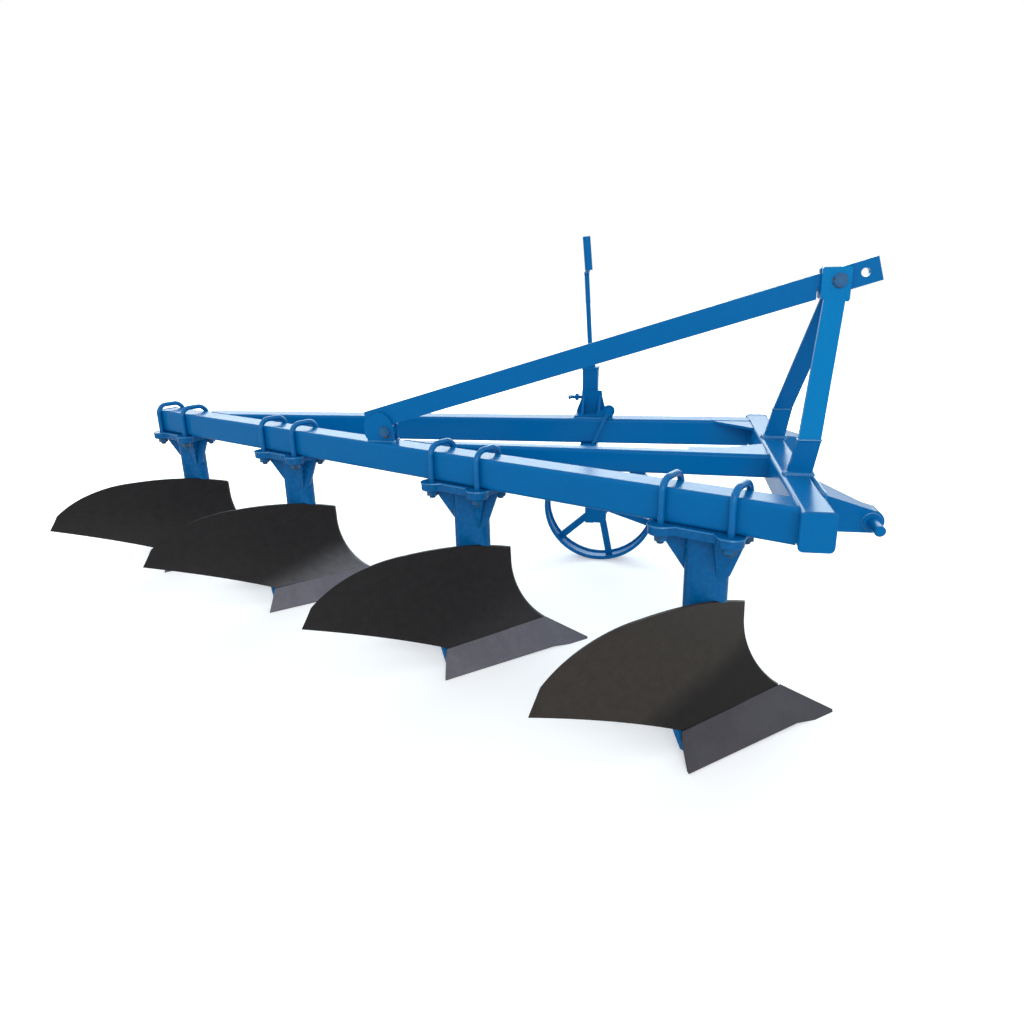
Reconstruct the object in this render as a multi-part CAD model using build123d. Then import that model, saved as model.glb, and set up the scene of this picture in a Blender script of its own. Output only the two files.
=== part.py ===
from build123d import *
import os
from math import asin, atan2, cos, degrees, hypot, radians, sin, sqrt

# Mounted share plough with four right-hand bottoms, modelled parked on level ground. Millimetres.
# X points the way the plough travels, Y to its left, Z up. While the pieces are made, X = Y = 0 at
# the share point of the first bottom; the last section moves the origin under the middle of it all.

# ---- frame ----
BEAM_ANGLE = 25.4        # the main beam's angle to the line of travel
BEAM = 100.0             # side of the square beams
BEAM_WALL = 8.0
BEAM_CORNER = 12.0       # outer corner radius of the beams
UNDER_BEAM = 595.0       # clear height under the beams
BEAM_TOP = UNDER_BEAM + BEAM
BEAM_OFFSET = 333.0      # main beam's right face to the right of the first share point
BEAM_REAR_STATION = 3145.0
CROSS_FRONT_X = -107.0
CROSS_WIDTH = 83.0       # along the line of travel
CROSS_REAR_X = CROSS_FRONT_X - CROSS_WIDTH
CROSS_RIGHT_Y = -277.0
SIDE_BEAM_Y = 980.0      # centre line of the side beam
CROSS_LEFT_Y = SIDE_BEAM_Y + BEAM / 2 + 45
MIDDLE_WIDTH = 60.0
MIDDLE_HEIGHT = 76.0
MIDDLE_WALL = 6.0
CAP_THICK = 6.0
GUSSET_THICK = 10.0
GUSSET_DROP = 2.0        # gusset plates' upper faces below the beams' tops
SIDE_GUSSET = 133.0      # its legs in the corner of the side and cross beams
SIDE_BEAM_END = -2555.0  # the side beam's mitred tip is cut square here and closed
MIDDLE_GUSSET = [(-250, 38), (-127, 50), (0, 127)]  # along from the cross beam, out from the beam's side

# ---- headstock ----
MAST_Y = 356.0           # the headstock's centre plane at the cross beam
PIN_Z = UNDER_BEAM + 32  # lower hitch pins
MAST_HEIGHT = 610.0      # lower hitch pins to the top-link hole
TOP_HOLE_X = 36.0
TOP_HOLE_DIA = 25.5
TOP_HOLE_MARGIN = 42.0   # from the hole's centre to the brace's front end
BRACE_HEIGHT = 69.5
BRACE_THICK = 25.0
BRACE_STATION = 1705.0   # where the brace's foot stands on the main beam
BRACE_RISE = 83.0        # its centre line above the beam there
BRACE_END = 56.0         # its upright rear end behind that place
BRACKET_PLATE = 12.0
BRACKET_SIDE = [(-42, 0), (-54, 22), (-54, 70), (-28, 90), (-4, 103), (18, 103), (44, 84), (56, 56),
                (56, 0)]  # along the beam from its foot bolt's station, above the beam
FOOT_BOLT_AHEAD = 25.0
FOOT_BOLT_RISE = 35.0    # foot bolt above the beam
TONGUE_RADIUS = 27.0     # the brace's tongue round the foot bolt
MAST_BOLT_SETBACK = 74.0  # mast bolt behind the top-link hole
BRACE_BEND_SETBACK = 60.0  # the brace bends in plan this far behind the mast bolt
BOLT_DIA = 22.0
BOLT_GAP = 0.5
BOLT_HEX = 19.0          # centre to corner of the heads and nuts
BOLT_HEAD = 12.0
BOLT_NUT = 16.0
BOLT_PAST_GRIP = 14.0    # shank past the plates, into the head and the nut
POST_WIDTH = 60.0
POST_THICK = 15.0
POST_HALF_SPREAD = 262.0
POST_FOOT_X = -140.0
POST_BEND = 42.0         # the post turns upright this far below the mast bolt
HEAD_REAR = 50.0         # the post's head behind, ahead of, above and below the mast bolt
HEAD_FRONT = 32.0
HEAD_ABOVE = 38.0
HEAD_BELOW = 50.0
FOOT_HEIGHT = 100.0
FOOT_WIDTH = 68.0
FOOT_THICK = 20.0
ARM_HALF_SPREAD = 472.0  # hitch pin shoulders from the centre plane
ARM_PIN_X = 13.0
ARM_NOSE_R = 30.0
ARM_REAR_WIDTH = 170.0
ARM_NOSE_WIDTH = 60.0
ARM_WALL = 12.0
PIN_DIA = 28.0
PIN_LENGTH = 82.0
PIN_COLLAR_DIA = 46.0
PIN_COLLAR_THICK = 8.0
PIN_CHAMFER = 4.0
LINCH_HOLE_DIA = 12.0
LINCH_HOLE_SETBACK = 14.0
HEAD_CORNER = 6.0        # radius on the corners of the post's head

# ---- bottoms: how far along the beam each share point lies behind the first ----
BOTTOMS = [
    {"number": 1, "station": 0.0},
    {"number": 2, "station": 845.0},
    {"number": 3, "station": 1775.0},
    {"number": 4, "station": 2555.0},
]
CUT_X = -419.0           # the share's heel from its point
CUT_Y = -375.0
JUNCTION_X = -154.0      # upper landside corner of the share
JUNCTION_Z = 70.0
SHARE_THICK = 12.0
SHARE_EDGE = 5.0
SHARE_HEEL = (-441.0, -276.0)
SHARE_NOSE = [(4, 2), (3, -12), (-8, -28), (-40, -50), (-104, -88)]
SHARE_LANDSIDE = [(-180, -10), (-165, 2)]  # its landside end, behind the moldboard's edge
GENERATOR_ANGLE = 44.0   # the moldboard's level generators, from the line of travel
BOARD_THICK = 8.0
BOARD_RADIUS = 450.0
BOARD_CENTRE_Z = 310.0   # height at which the moldboard stands upright
BOARD_TOP_Z = 400.0
BOARD_BOTTOM_Z = 68.0
WING_X = -812.0
WING_Z = 240.0
CLAMP_STATION = 469.0    # U-bolt pair's middle behind the share point, along the beam
CLAMP_SPACING = 198.0
U_ROD = 20.0
U_CLEARANCE = 1.0
U_RISE = 24.0            # the bow's centre line above the beam
U_BEND = 40.0            # bend radius of the bow's two corners
TOP_PLATE_THICK = 28.0
TOP_PLATE_EDGE = 17.0    # the plate's sides outside the beam's
EAR_RADIUS = 36.0
EAR_NECK = 14.0          # radius between ears and sides
NUT_ACROSS_FLATS = 34.0
NUT_HEIGHT = 19.0
LEG_X = -388.0
LEG_Y = -79.0
LEG_LENGTH = 122.0
LEG_WIDTH = 56.0
LEG_WALL = 10.0
LEG_BOTTOM = 70.0
GUSSET_ROOT = 455.0      # where the leg's gussets start
RIB_ROOT = 426.0         # where the two wedge ribs start
GUSSET_WEB = 12.0
RIB_RIGHT = [(10, -71), (64, -82)]  # corners under the top plate, from the leg's middle
RIB_LEFT = [(-10, 71), (-48, 74)]
RIB_APEX = 29.0          # the ribs' points from the leg's middle, right one ahead
LEG_GUSSETS = [(-1, 77, 15.0), (1, 42, -22.5)]  # rear and front: reach past the leg, aside of its middle
LANDSIDE_THICK = 12.0
LANDSIDE_HEIGHT = 110.0
LANDSIDE_FRONT_X = -165.0
LANDSIDE_REAR_X = -720.0
LANDSIDE_FACE_Y = 4.0
FROG_THICK = 16.0
FROG_TOP_Z = 240.0
FROG_BOTTOM_Z = 18.0
FROG_REACH = 425.0       # along the moldboard's generators
FROG_ARM = 520.0         # the lower arm behind the share, along them
SOCKET_WALL = 14.0       # round the leg's foot
SOCKET_FLOOR_Z = 52.0
SOCKET_TOP_Z = 190.0
STAY_DIA = 25.0
STAY_REACH = 600.0       # behind the share point along the generators
STAY_START_Z = 200.0
STAY_END_Z = 262.0
SEAT_GAP = 0.2           # between pieces that seat on each other's curved faces

# ---- gauge wheel ----
WHEEL_X = -790.0
WHEEL_Y = 1202.0
WHEEL_RADIUS = 250.0
WHEEL_WIDTH = 96.0
RIM_THICK = 8.0
RIM_BEAD = 8.0           # radius of the rolled edges
SPOKES = 6
SPOKE_WIDTH = 30.0
SPOKE_THICK = 12.0
FIRST_SPOKE = 11.0       # degrees forward of straight down
HUB_DIA = 84.0
HUB_LENGTH = 108.0
AXLE_DIA = 35.0
AXLE_GAP = 0.3
LEG_BAR = 36.0           # the wheel leg's square
LEG_BORE = 23.0
WHEEL_LEG_X = -825.0
JACK_Y = 1075.0
JACK_TUBE = 64.0
JACK_WALL = 6.0
JACK_TOP = BEAM_TOP + 194
JACK_BOTTOM = UNDER_BEAM - 45
JACK_GAP = 0.6
WHEEL_TRAVEL = 180.0
GUIDE_HEIGHT = 80.0
SCREW_DIA = 20.0
CRANK_TOP = JACK_TOP + 504
CRANK_LEAN = 20.0        # the rod's top behind the jack
COLLAR_HEIGHT = 16.0     # the screw's collar on the cap
GRIP_DIA = 30.0
GRIP_LENGTH = 124.0
CRANK_OFFSET = 60.0
EAR_AHEAD = 86.0         # the clamp's ear ahead of the jack
CLAMP_ROD = 14.0
CLAMP_ROD_OUT = 11.0     # its centre line outside the side beam's right face
EAR_RISE = 30.0          # the clamp's pivot above the beam
SADDLE_FLARE = [(-56, 0), (-52, 24), (-32, 72), (-32, 100), (50, 100), (53, 72), (66, 24), (66, 0)]
SADDLE_PLATE = 10.0
SADDLE_WEBS = (-30, 38)  # webs behind the flare, from the jack's middle

HUGE = 6000.0
SIN = sin(radians(BEAM_ANGLE))
COS = cos(radians(BEAM_ANGLE))


def along_beam(station, across=0.0, height=0.0):
    """Place on the main beam: local X forward along it, local Y left from its right face."""
    turn = Pos(-station * COS, station * SIN - BEAM_OFFSET, height) * Rot(0, 0, -BEAM_ANGLE)
    return turn * Pos(0, across, 0)


def tube(length, width, height, wall, corner):
    """Open rectangular tube along +X from the origin, middle in Y, standing on Z = 0."""
    section = RectangleRounded(width, height, corner)
    section -= RectangleRounded(width - 2 * wall, height - 2 * wall, max(corner - wall, 2.0))
    return Pos(0, 0, height / 2) * extrude(Plane.YZ * section, amount=length)


def rod(start, end, diameter):
    """Round bar from one point to another."""
    axis = Vector(*end) - Vector(*start)
    return extrude(Plane(origin=start, z_dir=axis) * Circle(diameter / 2), amount=axis.length)


def side_outline(points):
    """Closed outline on the XZ plane from (x, z) corners."""
    return Plane.XZ * make_face(Polyline(*points, close=True))


def mirrored(shape):
    """The same piece on the other side of the headstock's centre plane."""
    return mirror(shape, about=Plane.XZ.offset(-MAST_Y))


# ------------------------------------------------------------------ frame
def main_beam_space():
    """Everything to the right of the main beam's left face, for mitring what butts on it."""
    return along_beam(0, BEAM - HUGE / 2, BEAM_TOP) * Box(2 * HUGE, HUGE, HUGE)


def front_space(x):
    """Everything forward of a plane across the line of travel."""
    return Pos(x + HUGE / 2, 0, 0) * Box(HUGE, 2 * HUGE, HUGE)


def make_main_beam():
    beam = along_beam(BEAM_REAR_STATION, BEAM / 2, UNDER_BEAM) * tube(
        BEAM_REAR_STATION + BEAM, BEAM, BEAM, BEAM_WALL, BEAM_CORNER)
    return beam - front_space(CROSS_REAR_X)


def make_cross_beam():
    length = CROSS_LEFT_Y - CROSS_RIGHT_Y
    beam = tube(length, CROSS_WIDTH, BEAM, BEAM_WALL, BEAM_CORNER)
    return Pos(CROSS_FRONT_X - CROSS_WIDTH / 2, CROSS_RIGHT_Y, UNDER_BEAM) * Rot(0, 0, 90) * beam


def gusset_plate(points):
    """Flat plate just below the beams' tops, from its corners in plan."""
    outline = make_face(Polyline(*points, close=True))
    return Pos(0, 0, BEAM_TOP - GUSSET_DROP - GUSSET_THICK) * extrude(outline, amount=GUSSET_THICK)


def make_side_beam():
    """Side beam with the gusset in its corner with the cross beam."""
    rear_x = CROSS_REAR_X - HUGE / 2
    beam = Pos(rear_x, SIDE_BEAM_Y, UNDER_BEAM) * tube(HUGE / 2, BEAM, BEAM, BEAM_WALL, BEAM_CORNER)
    root = SIDE_BEAM_Y - BEAM / 2 + BEAM_WALL - 1
    side = SIDE_BEAM_Y - BEAM / 2
    beam += gusset_plate([(CROSS_REAR_X, root), (CROSS_REAR_X - SIDE_GUSSET, root),
                          (CROSS_REAR_X - SIDE_GUSSET, side - 3), (CROSS_REAR_X, side - SIDE_GUSSET)])
    beam -= Pos(SIDE_BEAM_END - HUGE / 2, 0, 0) * Box(HUGE, HUGE, HUGE)
    end_plate = extrude(Plane.YZ * RectangleRounded(BEAM, BEAM, BEAM_CORNER), amount=CAP_THICK)
    beam += Pos(SIDE_BEAM_END, SIDE_BEAM_Y, UNDER_BEAM + BEAM / 2) * end_plate
    return beam - main_beam_space()


def make_middle_beam():
    """Beam below the brace, with a gusset at the cross beam and a lug below."""
    foot = brace_foot()
    run = brace_bend() - foot
    heading = atan2(run.Y, run.X)
    low = BEAM_TOP - MIDDLE_HEIGHT
    beam = Pos(0, 0, low) * tube(HUGE / 2, MIDDLE_WIDTH, MIDDLE_HEIGHT, MIDDLE_WALL, BEAM_CORNER)
    end = (CROSS_REAR_X - foot.X) / cos(heading)
    root = MIDDLE_WIDTH / 2 - MIDDLE_WALL + 1
    edge = [(end + along, MIDDLE_WIDTH / 2 + out) for along, out in MIDDLE_GUSSET]
    beam += gusset_plate([(edge[0][0], root), *edge, (end + 60, edge[-1][1] + 60), (end + 60, root)])
    beam += Pos(end - 410, 0, low - 7) * Box(52, 30, 18)
    beam = Pos(foot.X, foot.Y, 0) * Rot(0, 0, degrees(heading)) * beam
    return beam - front_space(CROSS_REAR_X) - main_beam_space()


def make_beam_caps():
    """Plates that close the cross beam's two ends and the main beam's rear end."""
    end_plate = extrude(Plane.XZ * RectangleRounded(CROSS_WIDTH, BEAM, BEAM_CORNER), amount=CAP_THICK)
    x = CROSS_FRONT_X - CROSS_WIDTH / 2
    z = UNDER_BEAM + BEAM / 2
    right = Pos(x, CROSS_RIGHT_Y, z) * end_plate
    left = Pos(x, CROSS_LEFT_Y + CAP_THICK, z) * end_plate
    rear_plate = extrude(Plane.XZ * RectangleRounded(BEAM, BEAM, BEAM_CORNER), amount=CAP_THICK)
    rear = along_beam(BEAM_REAR_STATION, BEAM / 2, z) * Rot(0, 0, -90) * rear_plate
    return Compound([right, left, rear])


# ------------------------------------------------------------------ headstock
def brace_foot():
    """Middle of the main beam's top under the brace's foot bolt."""
    return along_beam(BRACE_STATION, BEAM / 2, BEAM_TOP).position


def brace_slope():
    """The brace's rise over its run on the ground."""
    foot = brace_foot()
    rise = PIN_Z + MAST_HEIGHT - foot.Z - BRACE_RISE
    return rise / hypot(TOP_HOLE_X - foot.X, MAST_Y - foot.Y)


def head_plane():
    """The brace's straight head: origin at the top-link hole, X up along it, Z to its right."""
    hole = (TOP_HOLE_X, MAST_Y, PIN_Z + MAST_HEIGHT)
    return Plane(origin=hole, x_dir=(1, 0, brace_slope()), z_dir=(0, -1, 0))


def brace_bend():
    """Where the brace bends in plan, just behind the mast bolt."""
    return (head_plane() * Pos(-MAST_BOLT_SETBACK - BRACE_BEND_SETBACK, 0)).position


def tail_plane():
    """Upright plane of the brace's long part: origin on the beam's top, X forward, Z to its right."""
    run = brace_bend() - brace_foot()
    return Plane(origin=brace_foot(), x_dir=(run.X, run.Y, 0), z_dir=(run.Y, -run.X, 0))


def make_brace():
    """Flat bar: a long part with a bolted tongue at its foot and a short head along the line of travel."""
    run = brace_bend() - brace_foot()
    length = hypot(run.X, run.Y)
    slope = (run.Z - BRACE_RISE) / length
    half = BRACE_HEIGHT / 2 * hypot(1, slope)
    ends = [(along, BRACE_RISE + along * slope) for along in (-BRACE_END, length)]
    tail = make_face(Polyline((ends[0][0], ends[0][1] - half), (ends[1][0], ends[1][1] - half),
                              (ends[1][0], ends[1][1] + half), (ends[0][0], ends[0][1] + half), close=True))
    tail += Pos(FOOT_BOLT_AHEAD, FOOT_BOLT_RISE) * Circle(TONGUE_RADIUS)
    tail += Pos(FOOT_BOLT_AHEAD, (FOOT_BOLT_RISE + BRACE_RISE) / 2) * Rectangle(
        2 * TONGUE_RADIUS, BRACE_RISE - FOOT_BOLT_RISE)
    tail -= Pos(FOOT_BOLT_AHEAD, FOOT_BOLT_RISE) * Circle(BOLT_DIA / 2 + BOLT_GAP)
    back = MAST_BOLT_SETBACK + BRACE_BEND_SETBACK
    head = Pos((TOP_HOLE_MARGIN - back) / 2, 0) * Rectangle(TOP_HOLE_MARGIN + back, BRACE_HEIGHT)
    head -= Circle(TOP_HOLE_DIA / 2)
    head -= Pos(-MAST_BOLT_SETBACK, 0) * Circle(BOLT_DIA / 2 + BOLT_GAP)
    return extrude(tail_plane() * tail, amount=BRACE_THICK / 2, both=True) + extrude(
        head_plane() * head, amount=BRACE_THICK / 2, both=True)


def make_brace_bracket():
    """Two upright plates on the main beam that hold the brace's tongue between them."""
    side = make_face(Polyline(*BRACKET_SIDE, close=True))
    side -= Pos(FOOT_BOLT_AHEAD, FOOT_BOLT_RISE) * Circle(BOLT_DIA / 2 + BOLT_GAP)
    plates = []
    for gap in (BRACE_THICK / 2, -BRACE_THICK / 2 - BRACKET_PLATE):
        plates.append(extrude(tail_plane().offset(gap) * side, amount=BRACKET_PLATE))
    return Compound(plates)


def make_headstock_bolts():
    """The mast bolt and the brace's foot bolt, each with its head and nut."""
    bolts = []
    places = ((tail_plane() * Pos(FOOT_BOLT_AHEAD, FOOT_BOLT_RISE), BRACE_THICK / 2 + BRACKET_PLATE),
              (head_plane() * Pos(-MAST_BOLT_SETBACK, 0), BRACE_THICK / 2 + POST_THICK))
    for face, grip in places:
        shank = extrude(face * Circle(BOLT_DIA / 2), amount=grip + BOLT_PAST_GRIP, both=True)
        head = extrude(face * Pos(0, 0, grip) * RegularPolygon(BOLT_HEX, 6), amount=BOLT_HEAD)
        nut = extrude(face * Pos(0, 0, -grip - BOLT_NUT) * RegularPolygon(BOLT_HEX, 6), amount=BOLT_NUT)
        bolts.append(shank + head + nut)
    return Compound(bolts)


def post_centre(z):
    """Where the right post's centre line runs at a height."""
    bolt = (head_plane() * Pos(-MAST_BOLT_SETBACK, 0)).position
    x = POST_FOOT_X + (bolt.X - POST_FOOT_X) * (z - BEAM_TOP) / (bolt.Z - BEAM_TOP)
    low = BEAM_TOP + FOOT_HEIGHT
    high = bolt.Z - POST_BEND
    foot_y = MAST_Y - POST_HALF_SPREAD
    top_y = bolt.Y - BRACE_THICK / 2 - POST_THICK / 2
    share = min(max((z - low) / (high - low), 0), 1)
    return x, foot_y + (top_y - foot_y) * share


def level_section(z, width, thick):
    x, y = post_centre(z)
    return Pos(x, y, z) * Rectangle(width, thick)


def make_mast_post():
    """Bent flat bar from its foot up to the brace, with a wider upright head plate."""
    low = BEAM_TOP + FOOT_HEIGHT
    bolt = (head_plane() * Pos(-MAST_BOLT_SETBACK, 0)).position
    high = bolt.Z - POST_BEND
    lean = POST_THICK / cos(atan2(POST_HALF_SPREAD, high - low))
    ends = [level_section(low, POST_WIDTH, lean), level_section(high, POST_WIDTH, POST_THICK)]
    post = loft(ends, ruled=True)
    outer = Plane(origin=(bolt.X, bolt.Y - BRACE_THICK / 2, bolt.Z), x_dir=(1, 0, 0), z_dir=(0, -1, 0))
    head = make_face(Polyline((-HEAD_REAR, HEAD_ABOVE), (HEAD_FRONT, HEAD_ABOVE), (HEAD_FRONT, -HEAD_BELOW - 10),
                              (-HEAD_REAR, -HEAD_BELOW), close=True))
    post += extrude(outer * fillet(head.vertices(), HEAD_CORNER), amount=POST_THICK)
    hole = extrude(head_plane() * Pos(-MAST_BOLT_SETBACK, 0) * Circle(BOLT_DIA / 2 + BOLT_GAP),
                   amount=80, both=True)
    return post - hole


def make_mast_foot():
    """Upright foot plate with a gusset behind, on the cross beam."""
    low = BEAM_TOP
    high = BEAM_TOP + FOOT_HEIGHT
    return loft([level_section(low, FOOT_WIDTH, FOOT_THICK), level_section(high, POST_WIDTH + 2, FOOT_THICK)],
                ruled=True)


def make_hitch_arm():
    """Tapered box arm: flat below, sloping above, round nose, open at the back."""
    def body(inset):
        rear = CROSS_FRONT_X
        nose = Pos(ARM_PIN_X, PIN_Z) * Circle(ARM_NOSE_R - inset)
        low = PIN_Z - ARM_NOSE_R + inset
        slope = [(rear, low), (rear, BEAM_TOP - inset), (ARM_PIN_X + 12, PIN_Z + ARM_NOSE_R - inset - 3),
                 (ARM_PIN_X, low)]
        profile = make_face(Polyline(*slope, close=True)) + nose
        outer = MAST_Y - ARM_HALF_SPREAD
        solid = extrude(Plane.XZ.offset(-outer - inset) * profile, amount=-(ARM_REAR_WIDTH - 2 * inset))
        front = ARM_PIN_X + ARM_NOSE_R
        plan = Polyline((rear, outer), (front, outer), (front, outer + ARM_NOSE_WIDTH - inset),
                        (ARM_PIN_X - 20, outer + ARM_NOSE_WIDTH - inset), (rear, outer + ARM_REAR_WIDTH - inset),
                        close=True)
        return solid & extrude(make_face(plan), amount=HUGE)
    arm = body(0) - body(ARM_WALL)
    boss = Pos(ARM_PIN_X, MAST_Y - ARM_HALF_SPREAD + ARM_NOSE_WIDTH / 2, PIN_Z) * Rot(90, 0, 0)
    arm += boss * Cylinder(ARM_NOSE_R - 2, ARM_NOSE_WIDTH)
    return arm - boss * Cylinder(PIN_DIA / 2, ARM_NOSE_WIDTH * 2)


def make_hitch_pin():
    """Turned hitch pin through the arm's nose, with a shoulder and a linchpin hole."""
    inner = MAST_Y - ARM_HALF_SPREAD + ARM_NOSE_WIDTH
    length = ARM_NOSE_WIDTH + PIN_LENGTH
    place = Pos(ARM_PIN_X, inner, PIN_Z) * Rot(90, 0, 0)
    pin = Pos(0, 0, length / 2) * Cylinder(PIN_DIA / 2, length)
    pin = chamfer(pin.edges().sort_by(Axis.Z)[-1], PIN_CHAMFER)
    pin += Pos(0, 0, ARM_NOSE_WIDTH + PIN_COLLAR_THICK / 2) * Cylinder(PIN_COLLAR_DIA / 2, PIN_COLLAR_THICK)
    pin -= Pos(0, 0, length - LINCH_HOLE_SETBACK) * Rot(0, 90, 0) * Cylinder(LINCH_HOLE_DIA / 2, PIN_DIA * 2)
    return place * pin


# ------------------------------------------------------------------ one bottom
def generator_plane():
    """X out of the moldboard's face, Y up, Z back along its level generators."""
    turn = radians(GENERATOR_ANGLE)
    return Plane(origin=(0, 0, 0), x_dir=(sin(turn), -cos(turn), 0), z_dir=(-cos(turn), -sin(turn), 0))


def face_depth():
    """The moldboard's arc centre from the share point, out of the face."""
    turn = radians(GENERATOR_ANGLE)
    rise = BOARD_CENTRE_Z - JUNCTION_Z
    return JUNCTION_X * sin(turn) + sqrt(BOARD_RADIUS ** 2 - rise ** 2)


def board_arc(radius, low, high):
    """Arc of the moldboard's section between two heights."""
    start = degrees(asin((low - BOARD_CENTRE_Z) / radius))
    end = degrees(asin((high - BOARD_CENTRE_Z) / radius))
    return CenterArc((face_depth(), BOARD_CENTRE_Z), radius, 180 - end, end - start)


def board_section(near, far, low, high):
    """Curved strip of the moldboard's section, from near to far behind its face."""
    front = board_arc(BOARD_RADIUS + near, low, high)
    back = board_arc(BOARD_RADIUS + far, low, high)
    return make_face([front, Line(front @ 1, back @ 1), back, Line(back @ 0, front @ 0)])


def board_outline():
    """The moldboard seen from its right: shin, round top, wing and lower edge."""
    shin = ThreePointArc((JUNCTION_X, JUNCTION_Z), (-242, 176), (-270, 300))
    corner = (-271, 342)
    crown = (-560, BOARD_TOP_Z)
    edges = [shin, Line((-270, 300), corner), ThreePointArc(corner, (-405, 386), crown),
             ThreePointArc(crown, (-703, 368), (-789, 300)), Line((-789, 300), (WING_X, WING_Z)),
             Line((WING_X, WING_Z), (-441, BOARD_BOTTOM_Z)), Line((-441, BOARD_BOTTOM_Z), (JUNCTION_X, JUNCTION_Z))]
    return Plane.XZ.offset(-20) * make_face(edges)


def make_moldboard():
    strip = extrude(generator_plane() * board_section(0, BOARD_THICK, BOARD_BOTTOM_Z, BOARD_TOP_Z + 20),
                    amount=1000)
    return strip & extrude(board_outline(), amount=700)


def share_plane():
    """Plane of the share's upper face, X forward along its landside edge."""
    cut = Vector(CUT_X, CUT_Y, 0)
    landside = Vector(JUNCTION_X, 0, JUNCTION_Z)
    return Plane(origin=(0, 0, SHARE_EDGE), x_dir=-landside, z_dir=landside.cross(cut))


def behind_share(gap):
    """Everything behind the line where the share meets the moldboard."""
    depth = face_depth() - sqrt(BOARD_RADIUS ** 2 - (BOARD_CENTRE_Z - BOARD_BOTTOM_Z) ** 2) + gap
    return generator_plane() * Pos(depth - HUGE / 2, 0, 0) * Box(HUGE, HUGE, HUGE)


def make_share():
    """Flat steel blade with a widened point, ground to the floor plane below."""
    plan = [*SHARE_NOSE, (CUT_X, CUT_Y), SHARE_HEEL, *SHARE_LANDSIDE]
    plane = share_plane()
    normal = plane.z_dir
    corners = []
    for x, y in plan:
        z = SHARE_EDGE - (normal.X * x + normal.Y * y) / normal.Z
        corners.append(plane.to_local_coords(Vector(x, y, z)))
    face = make_face(Polyline(*[(c.X, c.Y) for c in corners], close=True))
    blade = extrude(plane * face, amount=-SHARE_THICK)
    blade -= Pos(0, 0, -HUGE / 2) * Box(HUGE, HUGE, HUGE)
    return blade - behind_share(SEAT_GAP)


def make_landside():
    """Long bar that runs along the furrow wall, with a rounded front foot and a worn heel."""
    blade = extrude(Plane.XZ.offset(-LANDSIDE_FACE_Y) * make_face(Polyline(
        (LANDSIDE_FRONT_X, 0), (LANDSIDE_FRONT_X - 60, LANDSIDE_HEIGHT), (LANDSIDE_REAR_X, LANDSIDE_HEIGHT),
        (LANDSIDE_REAR_X, 0), close=True)), amount=LANDSIDE_THICK)
    return blade


def make_frog():
    """Cast seat: curved plate behind share and moldboard, socket for the leg, landside flange, webs."""
    near = BOARD_THICK + SEAT_GAP
    far = near + FROG_THICK
    inner_y = LANDSIDE_FACE_Y - LANDSIDE_THICK
    plate = board_section(near, far, FROG_BOTTOM_Z, FROG_TOP_Z)
    solid = extrude(generator_plane() * plate, amount=FROG_REACH)
    solid += extrude(generator_plane() * board_section(near, far, FROG_BOTTOM_Z, BOARD_BOTTOM_Z + 6),
                     amount=FROG_ARM)
    rear = LEG_X - LEG_LENGTH / 2 - SOCKET_WALL
    solid += extrude(Plane.XZ.offset(-inner_y) * make_face(Polyline(
        (-190, 8), (-230, 90), (-310, 200), (rear, 200), (rear, 8), close=True)), amount=FROG_THICK)
    socket = SlotOverall(LEG_LENGTH + 2 * SOCKET_WALL, LEG_WIDTH + 2 * SOCKET_WALL)
    solid += Pos(LEG_X, LEG_Y, SOCKET_FLOOR_Z) * extrude(socket, amount=SOCKET_TOP_Z - SOCKET_FLOOR_Z)
    for side in (-1, 1):
        web = bar_z(SOCKET_FLOOR_Z, SOCKET_TOP_Z, SOCKET_WALL, inner_y - LEG_Y)
        solid += Pos(LEG_X + side * LEG_LENGTH / 4, (inner_y + LEG_Y) / 2, 0) * web
    space = Pos(-320, inner_y - 250, (8 + FROG_TOP_Z + 12) / 2) * Box(460, 500, FROG_TOP_Z + 4)
    return (solid & space) - board_front() - leg_envelope() - make_share()


def leg_envelope():
    """The leg's outer space, down to its seat in the frog."""
    return Pos(LEG_X, LEG_Y, LEG_BOTTOM) * extrude(
        SlotOverall(LEG_LENGTH, LEG_WIDTH), amount=UNDER_BEAM - LEG_BOTTOM)


def board_front():
    """The moldboard's own space and what lies in front of it, a little past its outline."""
    arc = board_arc(BOARD_RADIUS + BOARD_THICK + SEAT_GAP, FROG_BOTTOM_Z, BOARD_TOP_Z + 20)
    low, high = sorted([arc @ 0, arc @ 1], key=lambda end: end.Y)
    out = 600
    face = make_face([arc, Line(high, (out, high.Y)), Line((out, high.Y), (out, low.Y)),
                      Line((out, low.Y), low)])
    strip = extrude(generator_plane().offset(-400) * face, amount=1500)
    below = Pos(-500, 0, 0) * Box(1000, HUGE, 2 * BOARD_BOTTOM_Z)
    return (strip & extrude(offset(board_outline(), amount=4), amount=700)) + (strip & below)


def clamp_places():
    """Middles of the two U-bolts of a bottom, in the beam's own frame."""
    return [CLAMP_STATION - CLAMP_SPACING / 2, CLAMP_STATION + CLAMP_SPACING / 2]


def u_leg_offset():
    return BEAM / 2 + U_CLEARANCE + U_ROD / 2


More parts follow.
